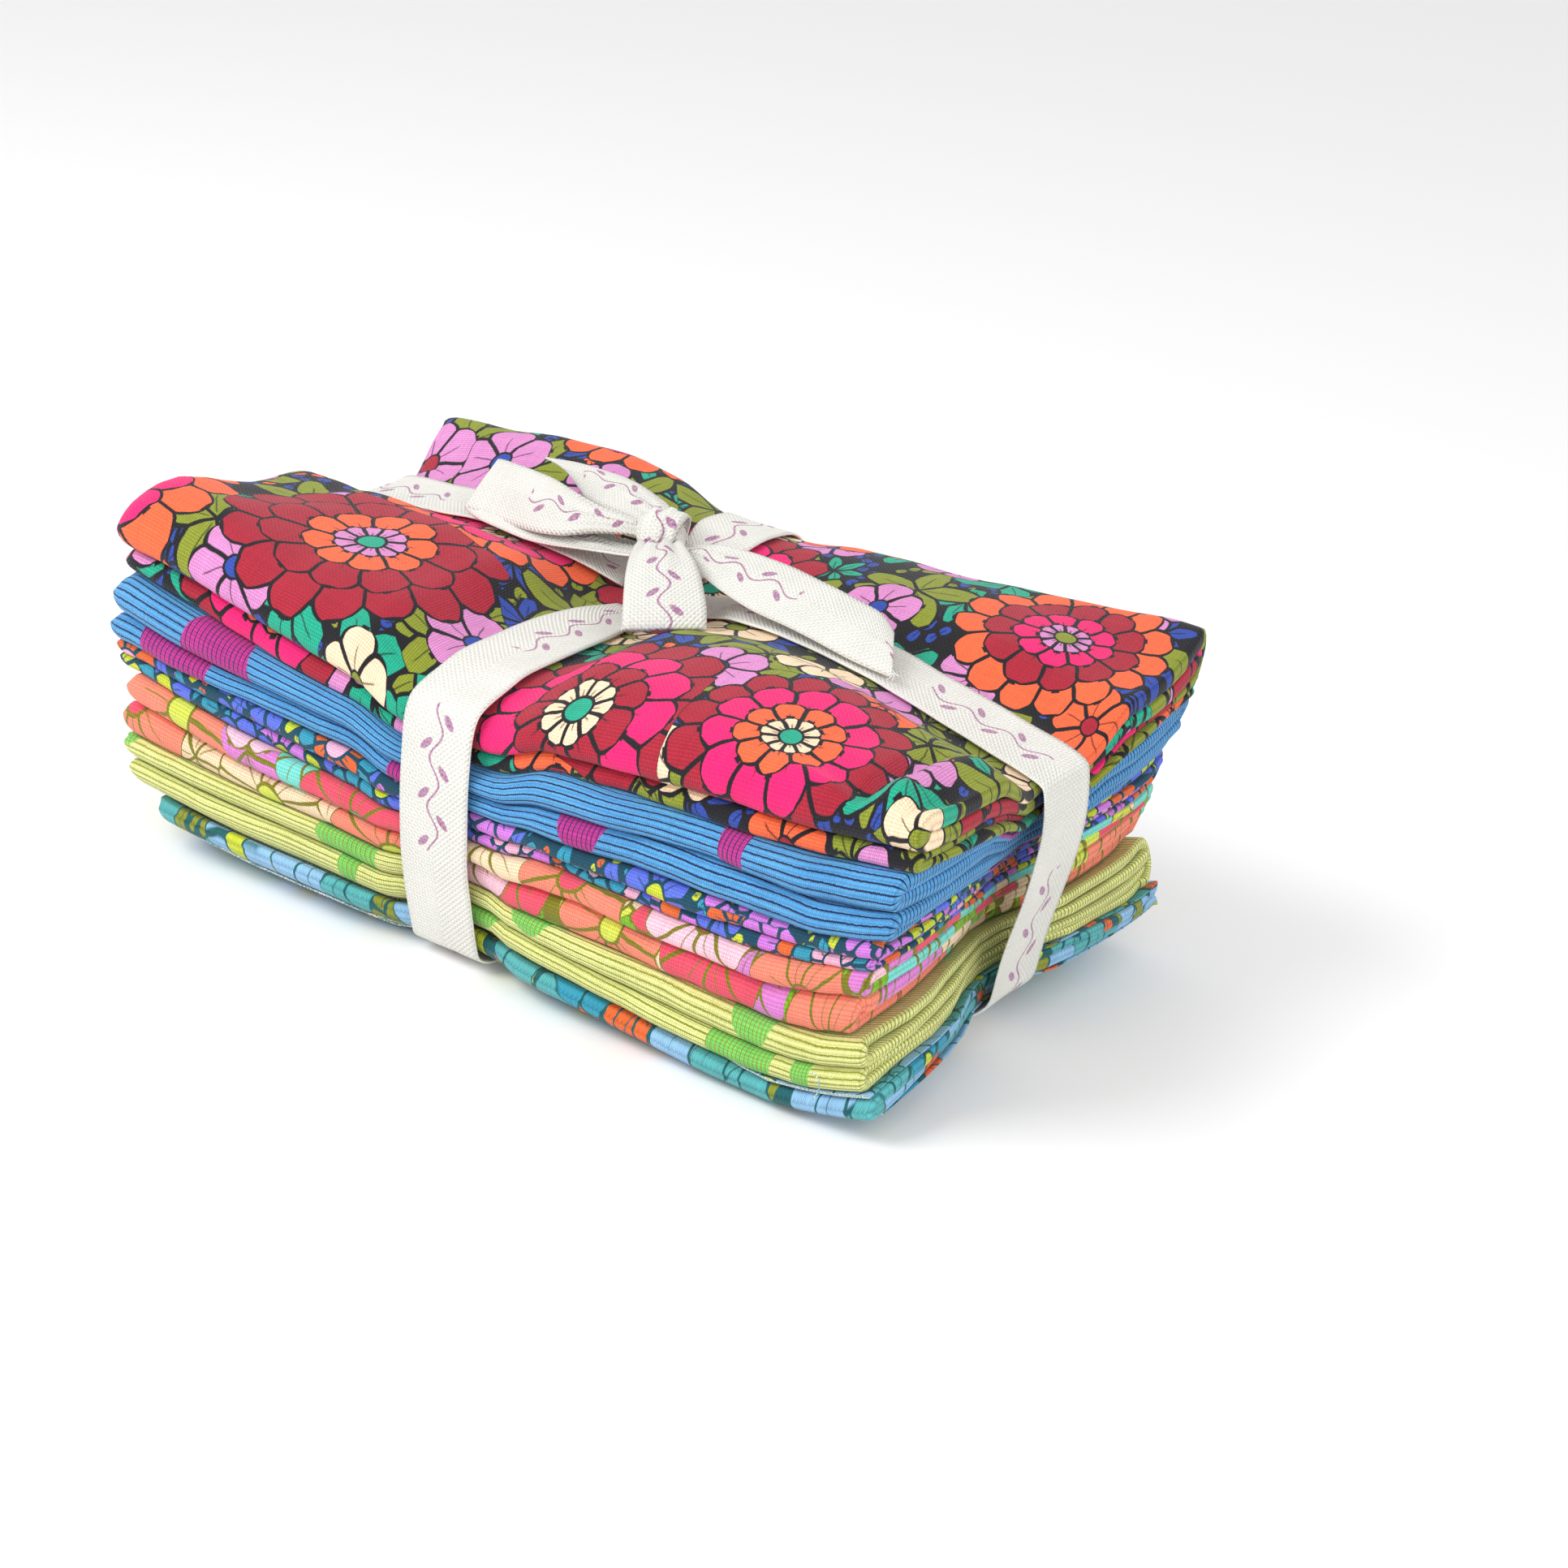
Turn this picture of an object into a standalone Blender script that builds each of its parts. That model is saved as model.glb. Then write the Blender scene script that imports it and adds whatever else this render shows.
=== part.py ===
# A bundle of six folded cotton fat quarters, tied both ways with a flat cotton tape in a bow.
# X runs along the bundle, Y across it and Z up, with the origin on the surface below its middle.
# Every size here is in millimetres, and place_points turns it into metres.

import math
from collections import namedtuple

import bmesh
import bpy
import numpy as np

MM = 0.001

# The folded bundle before it is tied
HALF_LENGTH = 114.0
HALF_WIDTH = 65.5
ORIGIN_SHIFT_X = 4.3
ORIGIN_SHIFT_Y = 0.3

# The tape, and the lines along which it squeezes the bundle
TAPE_WIDTH = 20.0
TAPE_THICKNESS = 1.0
TAPE_OFF_TOP = 1.35
TAPE_OFF_UNDERSIDE = 0.95
TAPE_OFF_SLOPE = 2.0
TAPE_GATHERS_WITHIN = 27.0
TAPE_LEAST_GATHER = 0.42
CROSS_BAND_X = -13.0
LONG_BAND_Y_LEFT = 29.0
LONG_BAND_Y_RIGHT = -3.0
SQUEEZE_FLAT = 11.5
TOP_SQUEEZE_REACH = 30.0
UNDER_SQUEEZE_REACH = 20.0
UNDER_RIDGE = 2.0
UNDER_RIDGE_CROSSING = 1.5

# Height of the top over the surface, before the tape: a row for each line along the bundle
TOP_STATIONS_X = (-114.0, -62.0, -13.0, 52.0, 114.0)
TOP_ROWS = (
    # y, then the height at each station
    (-66.0, (86.0, 76.0, 70.0, 76.0, 82.0)),
    (-48.0, (91.0, 84.0, 78.0, 83.0, 80.0)),
    (-14.0, (84.0, 85.5, 79.0, 85.0, 79.0)),
    (22.0, (82.0, 84.5, 80.0, 84.0, 80.0)),
    (48.0, (84.5, 86.5, 84.0, 86.0, 85.0)),
    (66.0, (86.5, 89.0, 82.5, 83.0, 91.0)),
)

# How far the underside lifts off the surface
UNDER_STATIONS_X = (-114.0, -72.0, -13.0, 40.0, 78.0, 114.0)
UNDER_ROWS = (
    # y, then the lift at each station
    (-66.0, (9.0, 8.0, 7.0, 3.5, 1.0, 6.0)),
    (-50.0, (6.0, 0.0, 0.0, 0.0, 0.0, 10.0)),
    (-3.0, (5.0, 0.0, 0.0, 0.0, 0.0, 16.5)),
    (50.0, (6.0, 0.0, 0.0, 0.0, 0.0, 15.0)),
    (66.0, (6.0, 4.0, 5.0, 4.0, 5.0, 16.0)),
)

# How deep the tape sinks in: along the bundle by x, across it by y
LONG_SINK = ((-114.0, -62.0, -13.0, 20.0, 52.0, 85.0, 114.0), (10.0, 6.0, 2.5, 3.0, 5.6, 8.0, 9.0))
CROSS_SINK = ((-66.0, -48.0, -14.0, 22.0, 48.0, 66.0), (6.0, 6.5, 6.5, 3.0, 1.5, 3.0))

# One row for each folded cloth, the top one first. closed is its height squeezed flat, loft what it springs
# up by, and puff the share of its height in its upper fold. The ends and fronts say how far the upper and the
# lower fold stand out past the bundle's own half length and half width.
Cloth = namedtuple(
    "Cloth",
    "name fold sheet closed loft puff left_upper left_lower right_upper right_lower front_upper front_lower"
    " color roughness",
)
CLOTHS = (
    Cloth("cloth_rose_floral", "book", 1.2, 9.8, 10.5, 0.66, 9.5, 5.0, 0.5, -1.0, 0.0, -1.5,
          (0.42, 0.05, 0.11), 0.85),
    Cloth("cloth_blue_line", "book", 1.2, 9.5, 9.0, 0.54, 4.5, 11.0, -1.0, -6.0, 1.5, 1.0,
          (0.10, 0.28, 0.55), 0.85),
    Cloth("cloth_teal_floral", "book", 1.0, 7.4, 2.2, 0.55, 9.0, 7.5, -7.0, -8.0, 0.5, -0.5,
          (0.05, 0.17, 0.26), 0.85),
    Cloth("cloth_coral_floral", "book", 1.2, 9.5, 8.5, 0.46, 2.5, 6.0, -8.0, -12.5, 1.5, 0.0,
          (0.62, 0.22, 0.20), 0.85),
    Cloth("cloth_lime_line", "book", 1.2, 9.5, 5.5, 0.52, 8.0, 1.5, -10.0, -6.0, 0.5, 1.0,
          (0.45, 0.50, 0.16), 0.85),
    Cloth("cloth_aqua_floral", "zigzag", 1.0, 7.2, 0.0, 0.50, -5.0, -8.0, -5.0, -4.0, 0.5, 0.5,
          (0.12, 0.36, 0.40), 0.85),
)

# Where the sheets have points: along the bundle, and across it from the long band's line
SHEET_STATIONS_X = (-114.0, -101.0, -66.0, -34.0, -24.5, -1.5, 8.0, 42.0, 78.0, 101.0, 114.0)
FRONT_STATION_Y = -48.0
BAND_STATIONS = (-22.0, -11.5, 11.5, 22.0)
BEND_POINTS = 3
BOOK_BACK_RADIUS = 4.5
RAW_END_INSIDE = 1.0

# How the bundle's outline gives way: at its corners, and where the tape draws its faces in
CORNER_ROUND = 1.6
CORNER_POWER = 6
FRONT_DRAWN_IN = 1.0
FRONT_DRAWN_IN_LOW = 6.5
FRONT_LOW_FROM_DEPTH = 0.5
FRONT_LOW_POWER = 1.5
BACK_DEPTH_SHARE = 0.5
RIGHT_DRAWN_IN = 2.5
RIGHT_DRAWN_IN_LOW = 6.0
RIGHT_DRAWN_REACH = 22.0
LEFT_DRAWN_IN = 8.0
LEFT_DRAWN_REACH = 20.0
END_MOVES_FROM = 60.0

# Faces of the tape's rings, as points from the top of each face to its foot
CROSS_TOP_FRONT = (4.0, -8.0, -22.0, -36.0, -47.0, -55.0)
CROSS_FRONT_FACE = (
    (-64.4, 67.5), (-68.4, 60.0), (-68.8, 46.0), (-68.2, 32.0), (-65.4, 19.0), (-63.4, 10.0), (-61.6, 4.6),
)
CROSS_UNDERSIDE = (-56.0, -50.0, -30.0, -8.0, 4.0, 25.0, 36.0, 50.0, 57.0)
CROSS_BACK_FACE = ((64.6, 3.6), (67.2, 10.0), (67.8, 24.0), (68.2, 40.0), (68.0, 60.0), (65.6, 76.0))
CROSS_TOP_BACK = (57.0, 46.0, 36.0, 25.0)
LONG_TOP_RIGHT = (-4.0, 6.0, 20.0, 36.0, 56.0, 78.0, 95.0, 110.0)
LONG_RIGHT_FACE = ((115.0, 69.0), (115.2, 58.0), (112.6, 42.0), (109.6, 30.0), (107.8, 20.0), (106.6, 13.6))
LONG_UNDERSIDE = (110.0, 101.0, 90.0, 78.0, 42.0, 8.0, -1.5, -24.5, -34.0, -66.0, -84.0, -101.0)
LONG_LEFT_FACE = ((-111.4, 5.0), (-117.0, 14.0), (-121.0, 32.0), (-121.2, 60.0), (-120.4, 70.6))
LONG_TOP_LEFT = (-112.0, -98.0, -82.0, -62.0, -40.0, -22.0)

# The bow. A row is a point on the middle of the tape, the turn in plan and the tip of the line across it in
# degrees, and the width it is gathered to.
Station = namedtuple("Station", "x y z turn tip width")
LOOP_FRONT = (
    Station(-6.6, 4.6, 88.0, 50, 0, 8.0),
    Station(-1.5, -1.5, 90.5, 50, 0, 15.0),
    Station(5.5, -9.5, 88.0, 50, 0, 19.0),
    Station(11.8, -17.0, 84.2, 50, 0, 20.0),
    Station(13.6, -19.2, 81.3, 50, 0, 20.0),
    Station(11.0, -16.2, 79.8, 50, 0, 20.0),
    Station(3.0, -6.5, 80.4, 50, 0, 17.0),
    Station(-5.6, 3.6, 82.4, 50, 0, 8.0),
)
LOOP_LEFT = (
    Station(-21.0, 14.2, 88.6, -70, -8, 8.0),
    Station(-32.0, 13.8, 89.0, -66, -17, 10.0),
    Station(-40.5, 12.6, 88.8, -66, -20, 17.0),
    Station(-51.0, 14.4, 88.4, -69, -24, 20.0),
    Station(-63.4, 17.6, 87.4, -70, -26, 20.0),
    Station(-74.4, 19.4, 86.0, -76, -23, 20.0),
    Station(-67.1, 16.0, 84.2, -70, -15, 20.0),
    Station(-51.1, 13.4, 83.7, -66, -12, 20.0),
    Station(-37.0, 12.4, 83.6, -64, -10, 14.0),
    Station(-21.2, 13.8, 82.8, -68, -6, 8.0),
)
TAIL_BACK = (
    Station(-17.6, 21.8, 88.0, 70, 6, 8.0),
    Station(-25.5, 25.6, 90.2, 78, 7, 12.0),
    Station(-34.0, 28.4, 91.4, 82, 8, 14.5),
    Station(-44.0, 31.0, 91.8, 108, 8, 17.0),
    Station(-58.5, 32.6, 90.4, 156, 6, 22.0),
)
TAIL_RIGHT = (
    Station(-3.0, 13.4, 87.2, -80, -8, 8.0),
    Station(5.0, 12.0, 88.2, -82, -14, 14.0),
    Station(22.0, 9.4, 87.4, -84, -15, 20.0),
    Station(43.0, 6.4, 85.6, -84, -14, 20.0),
    Station(52.0, 5.6, 84.5, -78, -15, 20.0),
    Station(62.4, 2.9, 83.0, -57, -14, 17.8),
)
POINTS_PER_STATION = 2
STRIP_COLUMNS = 2
KNOT_CENTRE = (-12.2, 13.8, 87.4)
KNOT_HALF = (7.2, 6.8, 7.8)
KNOT_WAIST = 0.07
KNOT_SQUARENESS = 0.8
TAPE_COLOR = (0.86, 0.85, 0.80)
TAPE_ROUGHNESS = 0.9


def eased(at, stations, values):
    """Value at each point of at, on a smooth line through values at stations that never passes them."""
    stations = np.asarray(stations, float)
    values = np.asarray(values, float)
    if values.ndim == 1:
        values = values[:, None]
    run = np.diff(stations)[:, None]
    slope = np.diff(values, axis=0) / run
    product = slope[:-1] * slope[1:]
    inner = np.where(product > 0, 2 * product / np.where(product > 0, slope[:-1] + slope[1:], 1), 0)
    tangent = np.concatenate([slope[:1], inner, slope[-1:]])
    cell = np.clip(np.searchsorted(stations, at) - 1, 0, len(run) - 1)
    column = np.arange(len(at)) if values.shape[1] > 1 else np.zeros(len(at), int)
    width = run[cell, 0]
    t = np.clip((at - stations[cell]) / width, 0, 1)
    start, end = values[cell, column], values[cell + 1, column]
    leave, arrive = tangent[cell, column] * width, tangent[cell + 1, column] * width
    bend = leave * t * (1 - t) ** 2 - arrive * t**2 * (1 - t)
    return start + (end - start) * t**2 * (3 - 2 * t) + bend


def sheet_height(x, y, stations_x, rows):
    """Height of a surface given by rows along the bundle, at each x and y."""
    along = np.array([eased(x, stations_x, heights) for _, heights in rows])
    return eased(y, [row[0] for row in rows], along)


def near(distance, reach):
    """1 within half the tape's width of its line, falling softly to 0 at reach."""
    t = np.clip((np.abs(distance) - SQUEEZE_FLAT) / (reach - SQUEEZE_FLAT), 0, 1)
    return 1 - t * t * (3 - 2 * t)


def towards(value, start, end):
    """0 up to start, rising to 1 at end, on either side of the middle."""
    return min(max((abs(value) - start) / (end - start), 0), 1)


def long_band_y(x):
    share = (x + HALF_LENGTH) / (2 * HALF_LENGTH)
    return LONG_BAND_Y_LEFT + (LONG_BAND_Y_RIGHT - LONG_BAND_Y_LEFT) * share


def top_height(x, y):
    x, y = np.asarray(x, float), np.asarray(y, float)
    loose = sheet_height(x, y, TOP_STATIONS_X, TOP_ROWS)
    long_sink = eased(x, *LONG_SINK) * near(y - long_band_y(x), TOP_SQUEEZE_REACH)
    cross_sink = eased(y, *CROSS_SINK) * near(x - CROSS_BAND_X, TOP_SQUEEZE_REACH)
    return loose - long_sink - cross_sink


def under_height(x, y):
    x, y = np.asarray(x, float), np.asarray(y, float)
    lift = sheet_height(x, y, UNDER_STATIONS_X, UNDER_ROWS)
    by_long = near(y - long_band_y(x), UNDER_SQUEEZE_REACH)
    by_cross = near(x - CROSS_BAND_X, UNDER_SQUEEZE_REACH)
    return lift + UNDER_RIDGE * np.maximum(by_long, by_cross) + UNDER_RIDGE_CROSSING * by_long * by_cross


def closed_below(index):
    return sum(cloth.closed for cloth in CLOTHS[index + 1 :])


def loft_below(index):
    return sum(cloth.loft for cloth in CLOTHS[index + 1 :])


def level_height(x, y, index, share):
    """Height at a share of a cloth's own thickness, from its underside up."""
    cloth = CLOTHS[index]
    under = under_height(x, y)
    spring = (top_height(x, y) - under - closed_below(-1)) / loft_below(-1)
    closed = closed_below(index) + share * cloth.closed
    loft = loft_below(index) + share * cloth.loft
    lowest = CLOTHS[-1]
    resting = pass_shares(lowest)[-1] * lowest.closed - lowest.sheet / 2
    return under + closed + loft * spring - resting


def stack_depth(index, share):
    """0 at the top of the bundle, 1 at its underside."""
    cloth = CLOTHS[index]
    below = closed_below(index) + loft_below(index) + share * (cloth.closed + cloth.loft)
    return 1 - below / (closed_below(-1) + loft_below(-1))


def front_line(x, stands_out, depth):
    """y of the foremost part of a fold."""
    low = np.clip((depth - FRONT_LOW_FROM_DEPTH) / (1 - FRONT_LOW_FROM_DEPTH), 0, 1) ** FRONT_LOW_POWER
    drawn = (FRONT_DRAWN_IN + FRONT_DRAWN_IN_LOW * low) * near(x - CROSS_BAND_X, TOP_SQUEEZE_REACH)
    return -HALF_WIDTH - stands_out + drawn + CORNER_ROUND * np.abs(x / HALF_LENGTH) ** CORNER_POWER


def back_line(x, depth):
    return -front_line(x, 0.0, BACK_DEPTH_SHARE * depth)


def end_place(x, y, cloth, share, depth):
    """x of a point of a sheet, whose ends stand out or are drawn in by the tape."""
    left_out = cloth.left_lower + (cloth.left_upper - cloth.left_lower) * share
    right_out = cloth.right_lower + (cloth.right_upper - cloth.right_lower) * share
    corner = CORNER_ROUND * np.abs(y / HALF_WIDTH) ** CORNER_POWER
    right_reach = np.exp(-(((y - LONG_BAND_Y_RIGHT) / RIGHT_DRAWN_REACH) ** 2))
    left_reach = np.exp(-(((y - LONG_BAND_Y_LEFT) / LEFT_DRAWN_REACH) ** 2))
    right = right_out - corner - (RIGHT_DRAWN_IN + RIGHT_DRAWN_IN_LOW * depth) * right_reach
    left = left_out - corner - LEFT_DRAWN_IN * left_reach
    t = np.clip((np.abs(x) - END_MOVES_FROM) / (HALF_LENGTH - END_MOVES_FROM), 0, 1) ** 2
    return x + np.where(x > 0, right, -left) * t


def pass_shares(cloth):
    """Middle of each of a cloth's four passes, as a share of its height, the top pass first."""
    return (1 - cloth.puff / 4, 1 - 3 * cloth.puff / 4, (1 - cloth.puff) * 3 / 4, (1 - cloth.puff) / 4)


def run_back(share, from_edge, to_edge):
    """Stations of one pass from front to back: what each is measured from, how far, and its share."""
    rows = [("front", from_edge, share), ("front_middle", from_edge, share)]
    rows += [("line", FRONT_STATION_Y, share), ("line_middle", FRONT_STATION_Y, share)]
    rows += [("band", offset, share) for offset in BAND_STATIONS]
    rows += [("middle", to_edge, share), ("back", to_edge, share)]
    return rows


def bend(edge, inset, radius, from_share, to_share):
    """Stations of a half turn between two passes."""
    rows = []
    for step in range(1, BEND_POINTS + 1):
        angle = math.pi * step / (BEND_POINTS + 1)
        share = from_share + (to_share - from_share) * (1 - math.cos(angle)) / 2
        rows.append((edge, inset + radius * (1 - math.sin(angle)), share))
    return rows


def fold_path(cloth):
    """Back-and-forth section of a cloth. A book fold has both its doubled edges at the front and wraps its
    cut ends at the back; a zigzag leaves its cut ends at the front."""
    first, second, third, fourth = pass_shares(cloth)
    skin = cloth.sheet / 2
    height = cloth.closed + cloth.loft
    upper = height * (first - second) / 2
    lower = height * (third - fourth) / 2
    if cloth.fold == "book":
        back = skin + BOOK_BACK_RADIUS
        path = run_back(second, skin + upper, back + RAW_END_INSIDE)[::-1]
        path += bend("front", skin, upper, second, first)
        path += run_back(first, skin + upper, back)
        path += bend("back", skin, BOOK_BACK_RADIUS, first, fourth)
        path += run_back(fourth, skin + lower, back)[::-1]
        path += bend("front", skin, lower, fourth, third)
        path += run_back(third, skin + lower, back + RAW_END_INSIDE)
        return path
    middle = height * (second - third) / 2
    path = run_back(first, skin, skin + upper)
    path += bend("back", skin, upper, first, second)
    path += run_back(second, skin + middle, skin + upper)[::-1]
    path += bend("front", skin, middle, second, third)
    path += run_back(third, skin + middle, skin + lower)
    path += bend("back", skin, lower, third, fourth)
    path += run_back(fourth, skin, skin + lower)[::-1]
    return path


def material(name, color, roughness):
    made = bpy.data.materials.new(name)
    made.use_nodes = True
    shader = made.node_tree.nodes["Principled BSDF"]
    shader.inputs["Base Color"].default_value = (*color, 1)
    shader.inputs["Roughness"].default_value = roughness
    shader.inputs["Metallic"].default_value = 0
    return made


def place_points(bm, points):
    for vert, point in zip(bm.verts, points):
        shifted = (point[0] + ORIGIN_SHIFT_X, point[1] + ORIGIN_SHIFT_Y, point[2])
        vert.co = [value * MM for value in shifted]


def add_object(name, bm, color, roughness):
    mesh = bpy.data.meshes.new(name)
    bm.to_mesh(mesh)
    bm.free()
    made = bpy.data.objects.new(name, mesh)
    bpy.context.scene.collection.objects.link(made)
    mesh.materials.append(material(name, color, roughness))
    mesh.shade_smooth()
    return made


def add_sheet(name, rows, thickness, color, roughness):
    """A closed sheet of one thickness over rows of points."""
    rows = np.asarray(rows, float)
    bm = bmesh.new()
    bmesh.ops.create_grid(bm, x_segments=rows.shape[1] - 1, y_segments=rows.shape[0] - 1, size=1)
    place_points(bm, rows.reshape(-1, 3))
    made = add_object(name, bm, color, roughness)
    solidify = made.modifiers.new("thickness", "SOLIDIFY")
    solidify.thickness = thickness * MM
    solidify.offset = 0
    solidify.use_quality_normals = True
    return made


def station_y(edge, offset, x, front, back):
    """y along one line of a sheet's points, measured from the edge that its station names."""
    if edge == "front":
        return front + offset
    if edge == "front_middle":
        return (front + offset + FRONT_STATION_Y) / 2
    if edge == "line":
        return np.full(len(x), offset)
    if edge == "line_middle":
        return (offset + long_band_y(x) + BAND_STATIONS[0]) / 2
    if edge == "band":
        return long_band_y(x) + offset
    if edge == "middle":
        return (long_band_y(x) + BAND_STATIONS[-1] + back - offset) / 2
    return back - offset


def make_cloth(index):
    cloth = CLOTHS[index]
    x = np.array(SHEET_STATIONS_X)
    rows = []
    for edge, offset, share in fold_path(cloth):
        depth = stack_depth(index, share)
        upper_fold = share > (1 - cloth.puff)
        front = front_line(x, cloth.front_upper if upper_fold else cloth.front_lower, depth)
        y = station_y(edge, offset, x, front, back_line(x, depth))
        place = end_place(x, y, cloth, share, depth)
        rows.append(np.stack([place, y, level_height(place, y, index, share)], axis=1))
    add_sheet(cloth.name, rows, cloth.sheet, cloth.color, cloth.roughness)


def across_points(middle, side):
    """Points across a tape, where side gives the offset of each column from its middle line."""
    columns = np.linspace(-1, 1, STRIP_COLUMNS + 1)
    return [[middle[i] + side[i] * column for column in columns] for i in range(len(middle))]


def columns_of_tape(from_knot=math.inf):
    """Offsets across the tape, which gathers as it comes to the knot."""
    gather = min(max(abs(from_knot) / TAPE_GATHERS_WITHIN, TAPE_LEAST_GATHER), 1)
    return np.linspace(-1, 1, STRIP_COLUMNS + 1) * gather * TAPE_WIDTH / 2


def make_cross_band():
    """The ring that runs across the bundle, from the knot round the front and back to the knot."""
    rows = []

    def over(y):
        x = CROSS_BAND_X + columns_of_tape(y - KNOT_CENTRE[1])
        return list(zip(x, np.full(len(x), y), top_height(x, np.full(len(x), y)) + TAPE_OFF_TOP))

    def face(y, z):
        return [(x, y, z) for x in CROSS_BAND_X + columns_of_tape()]

    def under(y):
        x = CROSS_BAND_X + columns_of_tape()
        off = TAPE_OFF_UNDERSIDE + TAPE_OFF_SLOPE * towards(y, -FRONT_STATION_Y, HALF_WIDTH)
        crossing = UNDER_RIDGE_CROSSING * near(y - long_band_y(x), UNDER_SQUEEZE_REACH)
        z = under_height(x, np.full(len(x), y)) - crossing - off
        return list(zip(x, np.full(len(x), y), z))

    rows += [over(y) for y in CROSS_TOP_FRONT]
    rows += [face(*point) for point in CROSS_FRONT_FACE]
    rows += [under(y) for y in CROSS_UNDERSIDE]
    rows += [face(*point) for point in CROSS_BACK_FACE]
    rows += [over(y) for y in CROSS_TOP_BACK]
    add_sheet("tie_band_cross", rows, TAPE_THICKNESS, TAPE_COLOR, TAPE_ROUGHNESS)


def make_long_band():
    """The ring that runs along the bundle, slanting a little across it."""
    top, lowest = CLOTHS[0], CLOTHS[-1]
    rows = []

    def over(x):
        y = long_band_y(x) + columns_of_tape(x - KNOT_CENTRE[0])
        place = end_place(np.full(len(y), x), y, top, 1.0, 0.0)
        return list(zip(place, y, top_height(place, y) + TAPE_OFF_TOP))

    def under(x):
        y = long_band_y(x) + columns_of_tape()
        place = end_place(np.full(len(y), x), y, lowest, 0.0, 1.0)
        off = TAPE_OFF_UNDERSIDE + TAPE_OFF_SLOPE * towards(x, UNDER_STATIONS_X[-2], HALF_LENGTH)
        return list(zip(place, y, under_height(place, y) - off))

    def face(x, z):
        return [(x, y, z) for y in long_band_y(x) + columns_of_tape()]

    rows += [over(x) for x in LONG_TOP_RIGHT]
    rows += [face(*point) for point in LONG_RIGHT_FACE]
    rows += [under(x) for x in LONG_UNDERSIDE]
    rows += [face(*point) for point in LONG_LEFT_FACE]
    rows += [over(x) for x in LONG_TOP_LEFT]
    add_sheet("tie_band_long", rows[::-1], TAPE_THICKNESS, TAPE_COLOR, TAPE_ROUGHNESS)


def make_bow_piece(name, stations):
    """A loop or tail of the bow: a strip along a smooth line through its stations."""
    table = np.array(stations, float)
    spots = np.arange(len(table))
    steps = np.linspace(0, len(table) - 1, (len(table) - 1) * POINTS_PER_STATION + 1)
    x, y, z, turn, tip, width = [eased(steps, spots, column) for column in table.T]
    turn, tip = np.radians(turn), np.radians(tip)
    across = [np.cos(tip) * np.cos(turn), np.cos(tip) * np.sin(turn), np.sin(tip)]
    side = np.stack(across, axis=1) * width[:, None] / 2
    rows = across_points(np.stack([x, y, z], axis=1), side)
    add_sheet(name, rows, TAPE_THICKNESS, TAPE_COLOR, TAPE_ROUGHNESS)


def make_knot():
    """A squarish lump with a slight waist where the tape wraps round it."""
    bm = bmesh.new()
    bmesh.ops.create_icosphere(bm, subdivisions=2, radius=1)
    points = []
    for vert in bm.verts:
        squared = [math.copysign(abs(value) ** KNOT_SQUARENESS, value) for value in vert.co]
        waist = 1 - KNOT_WAIST * math.cos(3 * math.atan2(vert.co.y, vert.co.x))
        points.append([c + h * s * waist for c, h, s in zip(KNOT_CENTRE, KNOT_HALF, squared)])
    place_points(bm, points)
    add_object("tie_knot", bm, TAPE_COLOR, TAPE_ROUGHNESS)


def main():
    for existing in list(bpy.data.objects):
        bpy.data.objects.remove(existing, do_unlink=True)
    for index in range(len(CLOTHS)):
        make_cloth(index)
    make_cross_band()
    make_long_band()
    make_knot()
    make_bow_piece("tie_loop_front", LOOP_FRONT)
    make_bow_piece("tie_loop_left", LOOP_LEFT)
    make_bow_piece("tie_tail_back", TAIL_BACK)
    make_bow_piece("tie_tail_right", TAIL_RIGHT)


main()
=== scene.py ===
import math

import bmesh
import bpy
import numpy as np
from mathutils import Matrix, Vector


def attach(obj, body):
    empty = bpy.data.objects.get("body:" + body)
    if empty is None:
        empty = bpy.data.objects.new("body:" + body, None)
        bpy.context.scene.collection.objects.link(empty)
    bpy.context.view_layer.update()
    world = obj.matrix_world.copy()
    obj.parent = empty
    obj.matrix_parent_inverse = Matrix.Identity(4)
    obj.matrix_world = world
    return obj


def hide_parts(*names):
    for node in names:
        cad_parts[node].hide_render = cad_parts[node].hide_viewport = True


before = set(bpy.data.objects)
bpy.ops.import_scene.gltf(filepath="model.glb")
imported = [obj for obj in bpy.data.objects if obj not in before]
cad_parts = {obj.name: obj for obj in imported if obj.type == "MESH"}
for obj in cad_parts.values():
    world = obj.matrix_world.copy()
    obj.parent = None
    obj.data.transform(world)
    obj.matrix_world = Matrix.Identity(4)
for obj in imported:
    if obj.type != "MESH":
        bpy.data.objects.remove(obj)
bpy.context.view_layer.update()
print("frame loaded")

mm = 0.001

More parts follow.
